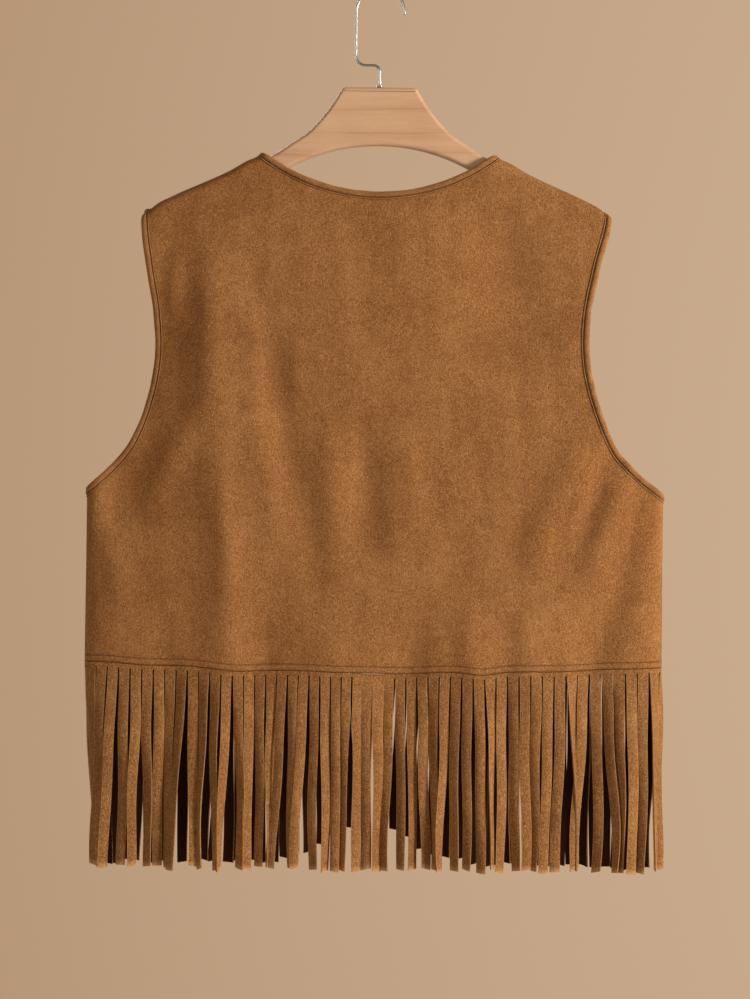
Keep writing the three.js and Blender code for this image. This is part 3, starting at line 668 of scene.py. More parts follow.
def wood_material():
    """Light even-grained wood: long grain along the board, pale rays, small pores, a clear satin coat."""
    material, tree = new_material("hanger_wood")
    place = tree.place()
    waves = {"Scale": 15, "Distortion": 4.5, "Detail": 2, "Detail Scale": 0.9, "Phase Offset": 1.1}
    waves["Vector"] = tree.stretched(place, (0.16, 1, 1))
    bands = tree.add("ShaderNodeTexWave", waves, wave_type="BANDS", bands_direction="Z").outputs["Fac"]
    line_range = {"Value": bands, "From Max": 0.035, "To Min": 1.0, "To Max": 0.0}
    ring_lines = tree.add("ShaderNodeMapRange", line_range).outputs["Result"]
    grain = tree.noise(tree.stretched(place, (0.05, 1, 1)), 420, 4, 0.65)
    pores = tree.noise(tree.stretched(place, (0.1, 1, 1)), 1500, 2, 0.5)
    cloud = tree.noise(place, 16, 2, 0.5)
    terms = [(bands, 0.08), (ring_lines, -0.1), (grain, 0.35), (pores, 0.2), (cloud, 0.3)]
    stops = [(0.15, (172, 124, 86)), (0.5, (206, 163, 125)), (0.85, (222, 185, 150))]
    tree.shade({
        "Base Color": tree.ramp(tree.weighted_sum(terms, 0.04), stops),
        "Roughness": 0.42,
        "Coat Weight": 0.25,
        "Coat Roughness": 0.3,
        "Normal": tree.bump(grain, 0.06, 0.0004),
    })
    return material


def chrome_material():
    material, tree = new_material("hook_chrome")
    scuffs = tree.noise(tree.place(), 500, 3, 0.6)
    tree.shade({
        "Base Color": linear(186, 185, 183),
        "Metallic": 1.0,
        "Roughness": tree.weighted_sum([(scuffs, 0.08)], 0.24),
        "Normal": tree.bump(scuffs, 0.02, 0.0001),
    })
    return material


# Dark brown of the stitch lines and seams: flattened nap, and painted shade in their grooves
PRESS_SHADE_COLOUR = (80, 45, 21)
SUEDE = suede("suede", (97, 55, 21), (148, 97, 51), (202, 148, 94), press_and_shade=PRESS_SHADE_COLOUR)
# The wrong side: its own darker colour, taken much darker still as painted shade for the insides seen
# between the strands
SUEDE_INSIDE_SHADED = suede("suede_inside", (40, 18, 10), (56, 27, 14), (76, 39, 21), sheen=0.05)
SUEDE_CUT = suede("suede_cut_edge", (118, 76, 42), (166, 117, 71), (210, 160, 108), sheen=0.35)
# The strands' suede: darker in its dark and middle tones than the cloth's, painted shade of the fringe, and
# lighter in its light tone, painted highlight
SUEDE_STRAND = suede("suede_strand", (84, 47, 19), (140, 92, 48), (208, 154, 98), worn_and_highlight=(204, 154, 102))
SUEDE_BINDING = suede(
    "suede_binding", (93, 54, 26), (141, 93, 51), (188, 135, 86), worn_and_highlight=(192, 142, 93), press_and_shade=PRESS_SHADE_COLOUR
)
THREAD = thread_material()
WOOD = wood_material()
CHROME = chrome_material()


# Panels

HEM_ROWS = 12
SHOULDER_ROWS = 8
# Rows of the panels, up the side seam and the armhole: height that they reach, how many
PANEL_ROWS = [(HEM_SIDE + 9, HEM_ROWS), (UNDERARM, 39), (-425, 19), (TIP - SHOULDER_ROUND, 51)]


def row_places():
    """Shares of the way up from the hem, close together at the hem, the underarm and the shoulder."""
    heights = []
    foot = HEM_SIDE
    for top, rows in PANEL_ROWS:
        heights.append(np.linspace(foot, top, rows + 1)[:-1])
        foot = top
    turn = np.linspace(0, math.pi / 2, SHOULDER_ROWS + 1)
    below = SHOULDER_ROUND * (1 - np.sin(turn))
    rise = TIP - HEM_SIDE
    return np.concatenate([(np.concatenate(heights) - HEM_SIDE) / rise, 1 - below / rise])


SHARES = row_places()
UNDERARM_ROW = int(np.argmin(np.abs(SHARES - (UNDERARM - HEM_SIDE) / (TIP - HEM_SIDE))))
NECK_COLUMNS = 40
TURN_COLUMNS = 7
SHOULDER_COLUMNS = 33
FALL_BESIDE_NECK = 1.3
# How near to a seam a point counts as on it
ON_SEAM = 0.01
# How dark the hem's stitch line and lower seam are made, and over what half widths: flattened nap, and
# painted shade in their grooves
STITCHES_PRESS_SHADE = 0.45
STITCHES_PRESS_SHADE_HALF = 0.8
EDGE_PRESS_SHADE_HALF = 1.0


def tip_half(side):
    """Half width at the shoulder tip."""
    return ARMHOLE[-1][1 if side < 0 else 2]


def back_columns():
    """Places of the back's columns from the middle out, along its top and its foot."""
    turn = np.linspace(0, math.pi / 2, TURN_COLUMNS + 1)
    below = SHOULDER_ROUND * (1 - np.sin(turn))
    neck = np.linspace(0, NECK_HALF - SHOULDER_ROUND / FALL_BESIDE_NECK, NECK_COLUMNS + 1)[:-1]
    shoulder = np.linspace(NECK_HALF, ARMHOLE[-1][1], SHOULDER_COLUMNS + 1)[1:]
    top = np.concatenate([neck, NECK_HALF - below / FALL_BESIDE_NECK, shoulder])
    foot = lane_stations(0, HALF_CHEST, len(top) - 1)
    return top, foot


def back_grid():
    top, foot = back_columns()
    halves = []
    for side in (-1, 1):
        tip_x = tip_half(side)
        beyond = (top - NECK_HALF) * (tip_x - NECK_HALF) / (top[-1] - NECK_HALF)
        top_x = np.where(top > NECK_HALF, NECK_HALF + beyond, top)
        width = side_half(lerp(HEM_SIDE, TIP, SHARES), side, False)[:, None]
        share = SHARES[:, None]
        x = side * lerp(foot / HALF_CHEST, top_x / tip_x, share) * width
        z = lerp(hem(foot), back_top(side * top_x), share)
        halves.append((x, z))
    (left_x, left_z), (right_x, right_z) = halves
    x = np.concatenate([left_x[:, :0:-1], right_x], 1)
    z = np.concatenate([left_z[:, :0:-1], right_z], 1)
    return x, z


FRONT_COLUMNS = 84


def front_grid(side):
    foot = lane_stations(FRONT_EDGE, HALF_CHEST, FRONT_COLUMNS)[::-1]
    tip_x = tip_half(side)
    top_share = np.linspace(0, 1, FRONT_COLUMNS + 1)
    foot_share = (HALF_CHEST - foot) / (HALF_CHEST - FRONT_EDGE)
    share = SHARES[:, None]
    outer = side_half(lerp(HEM_SIDE, TIP, SHARES), side, True)[:, None]
    inner_foot = float(front_hem(FRONT_EDGE))
    inner = front_edge(lerp(inner_foot, NECK_POINT, SHARES))[:, None]
    x = side * lerp(outer, inner, lerp(foot_share, top_share, share))
    z = lerp(front_hem(foot), shoulder_line(lerp(tip_x, NECK_HALF, top_share)), share)
    return x, z


def seam_normals(x, normals):
    """At the side and shoulder seams the cloth faces straight out, as in the solids."""
    on_side = np.abs(x) > HALF_CHEST - ON_SEAM
    normals[on_side] = np.stack([np.sign(x[on_side]), 0 * x[on_side], 0 * x[on_side]], -1)
    top = np.abs(x[-1]) > NECK_HALF - ON_SEAM
    across = np.abs(x[-1][top])
    fall = shoulder_top(across) - shoulder_top(across + 1)
    normals[-1][top] = unit(np.stack([np.sign(x[-1][top]) * fall, 0 * fall, 1 + 0 * fall], -1))


class Panel:
    """A sewn panel: its grid of points and normals, kept for what is laid along its edges."""

    def __init__(self, name, grid, side, flipped, node):
        self.x, z = grid
        self.points = side.at(self.x, z)
        self.normals = side.normal(self.x, z)
        seam_normals(self.x, self.normals)
        rows, columns = self.x.shape
        cells = grid_cells(rows, columns, flipped)
        points, faces, kinds = wall(self.points.reshape(-1, 3), self.normals.reshape(-1, 3), cells)
        above = z - side.edge(self.x)
        # Painted shade, with flattened nap, along the hem's stitch line and at its lower seam
        press_and_shade = STITCHES_PRESS_SHADE * bell(above - STITCH_ABOVE_HEM, STITCHES_PRESS_SHADE_HALF)
        press_and_shade = press_and_shade + bell(above, EDGE_PRESS_SHADE_HALF)
        marks = {"press_and_shade": np.tile(press_and_shade.ravel(), 2)}
        self.thing = make_object(name, points, faces, [SUEDE, SUEDE_INSIDE_SHADED, SUEDE_CUT], kinds, marks)
        mark_sharp(self.thing, kinds)
        stand_in(self.thing, node)


back = Panel("back_cloth", back_grid(), back_side, flipped=False, node="back_panel")
left_front = Panel("left_front_cloth", front_grid(-1), front_side, flipped=True, node="left_front")
right_front = Panel("right_front_cloth", front_grid(1), front_side, flipped=False, node="right_front")


# Bindings

# Half section from the seam outwards: across, rise of the face, scuffed pale with painted highlight on the
# ridges, flattened dark with painted shade in the grooves
BINDING = [
    (0.05, 0.1, 0.0, 0.9), (0.3, 0.9, 0.0, 0.3), (0.8, 1.5, 0.6, 0.0), (1.3, 1.3, 0.25, 0.0),
    (1.65, 0.6, 0.0, 0.8), (2.0, 0.55, 0.0, 0.8), (2.4, 1.3, 0.0, 0.1), (3.1, 1.8, 0.1, 0.0),
    (4.2, 2.05, 0.2, 0.0), (5.4, 1.95, 0.2, 0.0), (6.5, 1.5, 0.3, 0.0), (7.2, 0.8, 0.4, 0.0),
]
BINDING_WIDTH = 7.5
BINDING_TIP = (BINDING_WIDTH, 0.0, 0.4, 0.0)
# How unevenly the band lies: by how much, and over what length
BINDING_SWELL = (0.05, 26)
BINDING_PLUMP = (0.03, 8)
BINDING_SHIFT = (0.22, 31)
BINDING_SPREAD = (0.03, 40)
# How unevenly and how far on the whole the band's face is scuffed pale and painted with highlight
BINDING_WEAR_AND_HIGHLIGHT = (0.5, 17)
BINDING_WORN_AND_HIGHLIGHT = 0.75
BINDING_STEP = 2.6
BINDING_STITCH_ACROSS = 1.85
BINDING_STITCH_RISE = 0.62


def edge_stations(points, normals, inward):
    """Points and normals along a panel's edge, with the way out of the panel at each."""
    return points, normals, unit(points - inward)


def join(*runs):
    return [np.concatenate(parts) for parts in zip(*runs)]


def between(a, b):
    """The one station where two panels' edges meet at a seam."""
    return [((a[0] + b[0]) / 2)[None], unit(a[1] + b[1])[None], unit(a[2] + b[2])[None]]


def pick(run, index):
    return [part[index] for part in run]


def evenly(run, step, closed):
    """Stations at equal steps along a run."""
    points, normals, outs = [np.concatenate([part, part[:1]]) if closed else part for part in run]
    length = running_length(points)
    at = np.linspace(0, length[-1], int(length[-1] / step) + 1)
    if closed:
        at = at[:-1]
    points, normals, outs = [values_along(part, length, at) for part in (points, normals, outs)]
    return [points, unit(normals), unit(outs)], at


def directions(run, closed):
    """Up from the cloth and away from the panel at each station, both square to the run."""
    points, normals, outs = run
    if closed:
        along = unit(np.roll(points, -1, 0) - np.roll(points, 1, 0))
    else:
        along = unit(np.gradient(points, axis=0))
    up = unit(normals - along * (normals * along).sum(1, keepdims=True))
    away = np.cross(along, up)
    return up, away * np.sign((away * outs).sum())


def uneven(at, amount_and_wave, seed):
    amount, wave = amount_and_wave
    return amount * ripples(at, 0 * at, wave, seed)


def binding_piece(name, run, closed, node, seed):
    """Sweeps the folded and stitched band along its stations."""
    run, at = evenly(run, BINDING_STEP, closed)
    points = run[0]
    up, away = directions(run, closed)
    half = BINDING + [BINDING_TIP]
    section = half + [(across, -rise, rub_and_highlight, press_shade) for across, rise, rub_and_highlight, press_shade in BINDING[::-1]]
    swell = 1 + uneven(at, BINDING_SWELL, seed) + uneven(at, BINDING_PLUMP, seed + 1)
    shift = uneven(at, BINDING_SHIFT, seed + 2)
    widening = 1 + uneven(at, BINDING_SPREAD, seed + 3)
    wear_and_highlight = BINDING_WORN_AND_HIGHLIGHT + uneven(at, BINDING_WEAR_AND_HIGHLIGHT, seed + 4)
    rings = []
    worn_and_highlight = []
    press_and_shade = []
    for across, rise, rub_and_highlight, press_shade in section:
        spread = across * widening + shift * (across / BINDING_WIDTH)
        rings.append(points + away * spread[:, None] + up * (rise * swell)[:, None])
        worn_and_highlight.append(np.clip(rub_and_highlight * wear_and_highlight, 0, 1) * (rise >= 0))
        press_and_shade.append(np.full(len(at), press_shade))
    count = len(points)
    ring = len(section)
    cells = []
    for i in range(count if closed else count - 1):
        j = (i + 1) % count
        for k in range(ring):
            m = (k + 1) % ring
            cells.append((k * count + i, m * count + i, m * count + j, k * count + j))
    if not closed:
        cells.append([k * count for k in range(ring)][::-1])
        cells.append([k * count + count - 1 for k in range(ring)])
    marks = {"worn_and_highlight": np.concatenate(worn_and_highlight), "press_and_shade": np.concatenate(press_and_shade)}
    thing = make_object(name, np.concatenate(rings), cells, [SUEDE_BINDING], attributes=marks)
    face_out(thing)
    stand_in(thing, node)
    return thing, run, closed


def back_edge(column, inner):
    rows = slice(UNDERARM_ROW, None)
    return edge_stations(back.points[rows, column], back.normals[rows, column], back.points[rows, inner])


def armhole_run(side):
    front = left_front if side < 0 else right_front
    column, inner = (0, 1) if side < 0 else (-1, -2)
    rows = slice(UNDERARM_ROW, None)
    back_run = back_edge(column, inner)
    front_run = edge_stations(front.points[rows, 0], front.normals[rows, 0], front.points[rows, 1])
    under = between(pick(back_run, 0), pick(front_run, 0))
    under[2] = np.array([[0.0, 0.0, 1.0]])
    over = between(pick(back_run, -1), pick(front_run, -1))
    rising = pick(back_run, slice(1, -1))
    falling = [part[::-1] for part in pick(front_run, slice(1, -1))]
    return join(under, rising, over, falling)


def neck_run():
    last = back.points.shape[0] - 1
    columns = np.flatnonzero(np.abs(back.x[last]) < NECK_HALF + ON_SEAM)
    inward = back.points[last - 1, columns]
    neck = edge_stations(back.points[last, columns], back.normals[last, columns], inward)
    # The band keeps straight where the hem rolls
    calm = np.maximum(np.arange(last + 1), HEM_ROWS)
    fronts = []
    for panel in (left_front, right_front):
        fronts.append(edge_stations(panel.points[:, -1], panel.normals[calm, -1], panel.points[:, -2]))
    ends = []
    for side, front, column in ((-1, fronts[0], 0), (1, fronts[1], -1)):
        end = between(pick(front, -1), pick(neck, column))
        end[2] = unit(np.array([[-side, 0.0, 0.5]]))
        ends.append(end)
    up_left = pick(fronts[0], slice(0, -1))
    down_right = [part[::-1] for part in pick(fronts[1], slice(0, -1))]
    return join(up_left, ends[0], pick(neck, slice(1, -1)), ends[1], down_right)


neck_band = binding_piece("neck_band", neck_run(), closed=False, node="neck_binding", seed=41)
left_arm_band = binding_piece(
    "left_armhole_band", armhole_run(-1), closed=True, node="left_armhole_binding", seed=51
)
right_arm_band = binding_piece(
    "right_armhole_band", armhole_run(1), closed=True, node="right_armhole_binding", seed=61
)


# Stitches

STITCH_LENGTH = 1.5
STITCH_PITCH = 2.4
STITCH_HALF = 0.3
STITCH_SIDES = 6
# A stitch's arch: share of its length, rise, share of its thickness
STITCH_ARCH = [
    (-0.5, -0.32, 0.5), (-0.3, 0.06, 0.95), (0.0, 0.16, 1.0), (0.3, 0.06, 0.95), (0.5, -0.32, 0.5),
]
STITCH_SAMPLES = 400


def stitch_row(name, points, along, up):
    """A row of short stitches, each a little arch of thread that dips into the cloth at both ends."""
    side = np.cross(along, up)
    corners = []
    for share, rise, thick in STITCH_ARCH:
        centre = points + along * (share * STITCH_LENGTH) + up * rise
        for k in range(STITCH_SIDES):
            angle = 2 * math.pi * k / STITCH_SIDES
            reach = STITCH_HALF * thick
            corners.append(centre + side * (reach * math.cos(angle)) + up * (reach * math.sin(angle)))
    per_stitch = len(corners)
    corners = np.stack(corners, 1)
    one = tube_faces(len(STITCH_ARCH), STITCH_SIDES) + end_faces(len(STITCH_ARCH), STITCH_SIDES)
    faces = []
    for i in range(len(points)):
        faces += [tuple(i * per_stitch + corner for corner in face) for face in one]
    thing = make_object(name, corners.reshape(-1, 3), faces, [THREAD])
    face_out(thing)
    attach(thing, "root")
    return thing


def along_line(points, normals, pitch):
    """Even places along a line, leaving out its two ends, with their directions and normals."""
    length = running_length(points)
    at = np.arange(pitch, length[-1] - pitch / 2, pitch)
    place = values_along(points, length, at)
    along = unit(np.gradient(place, axis=0))
    up = values_along(normals, length, at)
    return place, along, unit(up - along * (up * along).sum(1, keepdims=True))


def hem_stitches(name, side, start, end):
    near, far = sorted((abs(start), abs(end)))
    if start < 0 < end:
        half = lane_stations(0, end, STITCH_SAMPLES)
        x = np.concatenate([-half[:0:-1], half])
    else:
        x = np.sign(end + start) * lane_stations(near, far, STITCH_SAMPLES)
    z = side.edge(x) + STITCH_ABOVE_HEM
    normals = side.normal(x, z)
    points = side.at(x, z) + normals * (CLOTH / 2)
    return stitch_row(name, *along_line(points, normals, STITCH_PITCH))


def band_stitches(name, band):
    _, run, closed = band
    up, away = directions(run, closed)
    points = run[0] + away * BINDING_STITCH_ACROSS + up * BINDING_STITCH_RISE
    return stitch_row(name, *along_line(points, up, STITCH_PITCH))


STITCHES_END = 1.5
SEAM_END = HALF_CHEST - STITCHES_END
back_hem_stitches = hem_stitches("back_hem_stitches", back_side, -SEAM_END, SEAM_END)
left_hem_stitches = hem_stitches("left_front_hem_stitches", front_side, -SEAM_END, -FRONT_EDGE)
right_hem_stitches = hem_stitches("right_front_hem_stitches", front_side, FRONT_EDGE, SEAM_END)
band_threads = [
    band_stitches("neck_band_stitches", neck_band),
    band_stitches("left_armhole_stitches", left_arm_band),
    band_stitches("right_armhole_stitches", right_arm_band),
]


# Fringe

STRAND_STEPS = 34
# Cut between two strands, and how much narrower each hangs than its lane, at the back and the fronts
CUT_WIDTH = {-1: 1.3, 1: 0.5}
STRAND_NARROWING = {-1: 0.04, 1: 0.01}
# Before the fronts' opening the back's strands hang closer: the cut there, and from where to where it widens
CLOSE_CUT = 0.1
CLOSE_HALF = (12, 18)
STRAND_WALL = 1.3
# Places across a strand, from one edge to the other, and how far the nap is scuffed pale there, with painted
# highlight along the cut edges
STRAND_PLACES = [(-1, 0.55), (-0.86, 0.0), (0, 0.0), (0.86, 0.0), (1, 0.55)]
FOOT_RUBBED = 0.8
# A strand's strip faces as the cloth does this far above the hem
FACES_AS_ABOVE = 12
EDGE_STEP = 0.1

# Drawn at random for each strand
FOOT_RAISED = (-2.4, 1.6)
FOOT_SLANT = (-1.2, 1.2)
SWAY = (0.3, 0.95)
TURN_LATE = (0.45, 1.1)
CUP = (0.5, 1.3)
WAIST = (-0.03, 0.05)

# Waves down a strand: times its own phase, how fast
SWAY_WAVE = (1, 8)
TURN_WAVE = (3, 9)
WAIST_WAVE = (2, 6)
LIFT_WAVE = (2, 6)
TURN_WAVER = 0.12
LIFT_WAVER = 0.8
# Share of the length by which the sway and the narrowing are whole
SWAY_WHOLE = 0.4
NARROWING_WHOLE = 0.12
# How fast the cup and the foot's slant grow down the strand
CUP_GROWTH = 4
SLANT_GROWTH = 2
CUP_TILT = 0.9

# Most of a front strand's drift half way down, drift at the foot, twist in degrees, and lift
FRONT_HANG = (1.1, 2.2, 30, 1.5)
# The strands beside the fronts' opening lean into it, less with each: drift half way down, drift at the foot
OPENING_LEAN = [(4.4, 7.5), (3.5, 6.0), (2.6, 4.5), (1.8, 3.0), (0.9, 1.5)]
OPENING_TWIST = 6
OPENING_LIFT = 0.5
# So do those beside the side seam, away from the seam
SEAM_LEAN = [(3.5, 8.0), (3.0, 6.0), (2.0, 4.0)]
SEAM_TWIST = -10
SEAM_LIFT = -1.5


def front_hang(count, seed, toward):
    """How a front's hidden strands hang, from its side seam. toward is the sign of the opening's side."""
    rng = np.random.default_rng(seed)
    rows = [tuple(rng.uniform(-most, most) for most in FRONT_HANG) for _ in range(count)]
    for place, (middle, foot) in enumerate(OPENING_LEAN):
        rows[-1 - place] = (toward * middle, toward * foot, toward * OPENING_TWIST, OPENING_LIFT)
    for place, (middle, foot) in enumerate(SEAM_LEAN):
        rows[place] = (toward * middle, toward * foot, toward * SEAM_TWIST, SEAM_LIFT)
    return rows


def fringe_piece(name, lanes, side, hang, node, seed):
    """A comb of strands cut from one strip under a panel's lower edge."""
    rng = np.random.default_rng(seed)
    facing = side.facing
    points = []
    normals = []
    worn_and_highlight = []
    cells = []
    last_place = len(STRAND_PLACES) - 1

    def add(point, normal, rub_and_highlight):
        points.append(point)
        normals.append(normal)
        worn_and_highlight.append(rub_and_highlight)
        return len(points) - 1

    def hanging_normal(x):
        normal = side.normal(np.array([x]), side.edge(np.array([x])) + FACES_AS_ABOVE)[0] * (1, 1, 0)
        return normal / np.linalg.norm(normal)

    def row(x, drop):
        slope = float(side.edge(x + EDGE_STEP) - side.edge(x - EDGE_STEP)) / (2 * EDGE_STEP)
        edge = np.array([float(side.edge(x))])
        point = side.at(np.array([x]), edge)[0]
        level = np.array([x, facing * float(side.plain_depth(np.array([x]), edge)[0]), point[2]])
        return add(level - (0, 0, drop * math.hypot(1, slope)), hanging_normal(x), 0)

    def cut_beside(line, other):
        cut = lerp(CLOSE_CUT, CUT_WIDTH[facing], smooth(abs(line), *CLOSE_HALF))
        return line if abs(line) == HALF_CHEST else line + math.copysign(cut / 2, other - line)

    def strand(index, left, right, root):
        mid_drift, foot_drift, turn, lift = hang[index]
        start = (points[root[0]] + points[root[-1]]) / 2
        across = (points[root[-1]] - points[root[0]]) * (1, 1, 0)
        half = np.linalg.norm(across) / 2
        across = across / (2 * half)
        normal = np.array([-facing * across[1], facing * across[0], 0])
        middle_x = (left + right) / 2
        spare = STRAND_NARROWING[facing] * smooth(abs(middle_x), *CLOSE_HALF)
        foot = FRINGE_END + float(side.edge(middle_x) - hem(middle_x)) + rng.uniform(*FOOT_RAISED)
        slant = rng.uniform(*FOOT_SLANT)
        phase = rng.uniform(0, 2 * math.pi)
        sway = rng.uniform(*SWAY)
        late = rng.uniform(*TURN_LATE)
        cup = rng.uniform(*CUP)
        waist = rng.uniform(*WAIST)
        previous = root

        def wave(times, rate):
            return math.sin(times * phase + rate * drop)

        for step in range(1, STRAND_STEPS + 1):
            drop = step / STRAND_STEPS
            ease = drop * drop * (3 - 2 * drop)
            bend = mid_drift * 2 * drop * (1 - drop) + lerp(mid_drift * ease, foot_drift, drop) * ease
            bend += sway * wave(*SWAY_WAVE) * smooth(drop, 0, SWAY_WHOLE)
            angle = math.radians(turn) * drop**late + TURN_WAVER * wave(*TURN_WAVE) * drop
            narrowing = spare * smooth(drop, 0, NARROWING_WHOLE) + waist * wave(*WAIST_WAVE) * drop
            width = half * (1 - narrowing)
            broad = across * math.cos(angle) + normal * math.sin(angle)
            out = normal * math.cos(angle) - across * math.sin(angle)
            away = lift * ease + LIFT_WAVER * wave(*LIFT_WAVE) * drop
            centre = start + np.array([bend, 0, 0]) + normal * away
            slanted = min(1, drop * SLANT_GROWTH)
            cupped = min(1, drop * CUP_GROWTH)
            now = []
            for (place, rub_and_highlight), top in zip(STRAND_PLACES, root):
                level = lerp(points[top][2], foot + slant * place * slanted, drop)
                point = centre + broad * (width * place) + out * (cup * (1 - place * place) * cupped)
                tilt = unit(out + broad * (CUP_TILT * cup * place * cupped * 2 / half))
                rubbed_and_highlight = FOOT_RUBBED if step == STRAND_STEPS else rub_and_highlight
                now.append(add(np.array([point[0], point[1], level]), tilt, rubbed_and_highlight))
            for k in range(last_place):
                cells.append((now[k], now[k + 1], previous[k + 1], previous[k]))
            previous = now

    strip_top = SEAM_GAP
    strip_foot = SEAM_GAP + STRIP_HEIGHT
    last = None
    for i in range(len(lanes) - 1):
        left = cut_beside(lanes[i], lanes[i + 1])
        right = cut_beside(lanes[i + 1], lanes[i])
        places = [lerp(left, right, (place + 1) / 2) for place, _ in STRAND_PLACES]
        top = [row(x, strip_top) for x in places]
        foot = [row(x, strip_foot) for x in places]
        for k in range(last_place):
            cells.append((foot[k], foot[k + 1], top[k + 1], top[k]))
        if last is not None:
            cells.append((last[1], foot[0], top[0], last[0]))
        last = (top[-1], foot[-1])
        strand(i, left, right, foot)

    turned = cells if facing < 0 else [cell[::-1] for cell in cells]
    shell, faces, kinds = wall(np.array(points), np.array(normals), np.array(turned), STRAND_WALL)
    marks = {"worn_and_highlight": np.tile(worn_and_highlight, 2)}
    thing = make_object(name, shell, faces, [SUEDE_STRAND, SUEDE_INSIDE_SHADED, SUEDE_CUT], kinds, marks)
    mark_sharp(thing, kinds)
    face_out(thing)
    stand_in(thing, node)
    return thing


all_back_lanes = np.concatenate([-back_lanes_left[:0:-1], back_lanes_right])
back_strands = fringe_piece(
    "back_strands", all_back_lanes, back_side, BACK_HANG, node="back_fringe", seed=71
)
left_hang = front_hang(FRONT_STRANDS, seed=83, toward=1)
left_strands = fringe_piece(
    "left_front_strands", -front_lanes[::-1], front_side, left_hang, node="left_front_fringe", seed=73
)
right_hang = front_hang(FRONT_STRANDS, seed=89, toward=-1)[::-1]
right_strands = fringe_piece(
    "right_front_strands", front_lanes, front_side, right_hang, node="right_front_fringe", seed=79
)


# Hanger

WOOD_HALF = 6
WOOD_EDGE = 3.5
WOOD_TOP = -89.3
WOOD_DROP = 2.7
ARM_DEPTH = 18
ARM_END = 192
ARM_FALL_DEG = 26
ARCH_TOP = -141.7
ARCH_RADIUS = 169
BORE = 3
# The rounded corner of its flat top: where it starts, width, drop, sharpness
WOOD_CORNER = (27, 7.7, 2.6, 1.4)
# Half outline of the board's bare slope: distance across, height
BOARD_SLOPE = [
    (34.7, -91.9), (43.7, -106.5), (54, -119.7), (65, -131),
    (80.5, -141.5), (94, -150.5), (107, -155.6), (122, -160.8),
]
# Runs of the half outline: from, to, stations
TOP_RUN = (0, 24, 7)
CORNER_STATIONS = 7
SLOPE_RUN = (36, 121, 34)
ARM_RUN = (124, 180, 24)
ARM_END_STATIONS = 15
UNDERSIDE_RUN = (172, 104, 22)
ARCH_RUN = (90, 0, 34)
WOOD_EDGE_STATIONS = 8


def arm_top(x):
    """Height of the board's arm, a little under the cloth of the shoulder."""
    return float(shoulder_top(x)) - WOOD_DROP


def board_outline():
    """Half the board's outline, from the middle of its top round its arm to the middle of its arch."""
    slope = curve_through(BOARD_SLOPE, 1)
    start, width, drop, sharpness = WOOD_CORNER
    half = [(x, WOOD_TOP) for x in np.linspace(*TOP_RUN)]
    for turn in np.linspace(0, math.pi / 2, CORNER_STATIONS):
        fall = drop * (1 - math.cos(turn)) ** sharpness
        half.append((start + width * math.sin(turn), WOOD_TOP - fall))
    half += [(x, float(slope(x))) for x in np.linspace(*SLOPE_RUN)]
    half += [(x, arm_top(x)) for x in np.linspace(*ARM_RUN)]
    end_radius = (ARM_DEPTH / 2) * math.cos(math.radians(ARM_FALL_DEG))
    end_x = ARM_END - end_radius
    end_z = arm_top(end_x) - ARM_DEPTH / 2
    for turn in np.linspace(0, 180, ARM_END_STATIONS):
        angle = math.radians(90 - ARM_FALL_DEG - turn)
        half.append((end_x + end_radius * math.cos(angle), end_z + end_radius * math.sin(angle)))
    half += [(x, arm_top(x) - ARM_DEPTH) for x in np.linspace(*UNDERSIDE_RUN)]
    arch_middle = ARCH_TOP - ARCH_RADIUS
    half += [(x, arch_middle + math.sqrt(ARCH_RADIUS**2 - x * x)) for x in np.linspace(*ARCH_RUN)]
    return half


def inset(outline, distance):
    """The outline moved inwards by a distance, along the mean of its neighbouring edges' normals."""
    before = np.roll(outline, 1, 0)
    after = np.roll(outline, -1, 0)
    edge = unit(after - before)
    inward = np.stack([edge[:, 1], -edge[:, 0]], -1)
    return outline + inward * distance


def make_board():
    half = board_outline()
    outline = np.array(half + [(-x, z) for x, z in half[-2:0:-1]])
    levels = []
    for turn in np.linspace(0, math.pi / 2, WOOD_EDGE_STATIONS):
        levels.append((WOOD_HALF - WOOD_EDGE * (1 - math.sin(turn)), WOOD_EDGE * (1 - math.cos(turn))))
    rings = []
    for y, into in [(-y, into) for y, into in levels[::-1]] + levels:
        flat = inset(outline, into)
        rings.append(np.stack([flat[:, 0], np.full(len(flat), y), flat[:, 1]], -1))
    rings.sort(key=lambda ring: ring[0, 1])
    faces = tube_faces(len(rings), len(outline)) + end_faces(len(rings), len(outline))
    thing = make_object("hanger_board", np.concatenate(rings), faces, [WOOD])
    for polygon in thing.data.polygons:
        polygon.use_smooth = len(polygon.vertices) == 4
    face_out(thing)
    stand_in(thing, "hanger")


make_board()


# Hook

WIRE = 2.4
HOOK_RADIUS = 21.8
HOOK_BEND_LEVEL = -68.9
HOOK_BEND = 9
NECK_BEND = 5.8
STEM_END = -110
# Where the wire ends in the eye, in degrees below level
HOOK_END_DEG = 3
EYE_STATIONS = 60
STRAIGHT_STATIONS = 12
BEND_STATIONS = 16
NECK_STATIONS = 14
WIRE_SIDES = 20
# The wire's domed end: share of the radius where it starts, stations
WIRE_DOME = (0.15, 6)
FERRULE_DIAMETER = 5.4
FERRULE_HEIGHT = 2.4
FERRULE_EDGE = 0.2
FERRULE_DOME = 0.6
FERRULE_SIDES = 40


def arc(centre, radius, start, end, count):
    angles = np.radians(np.linspace(start, end, count))
    return [(centre[0] + radius * math.cos(a), 0, centre[1] + radius * math.sin(a)) for a in angles]


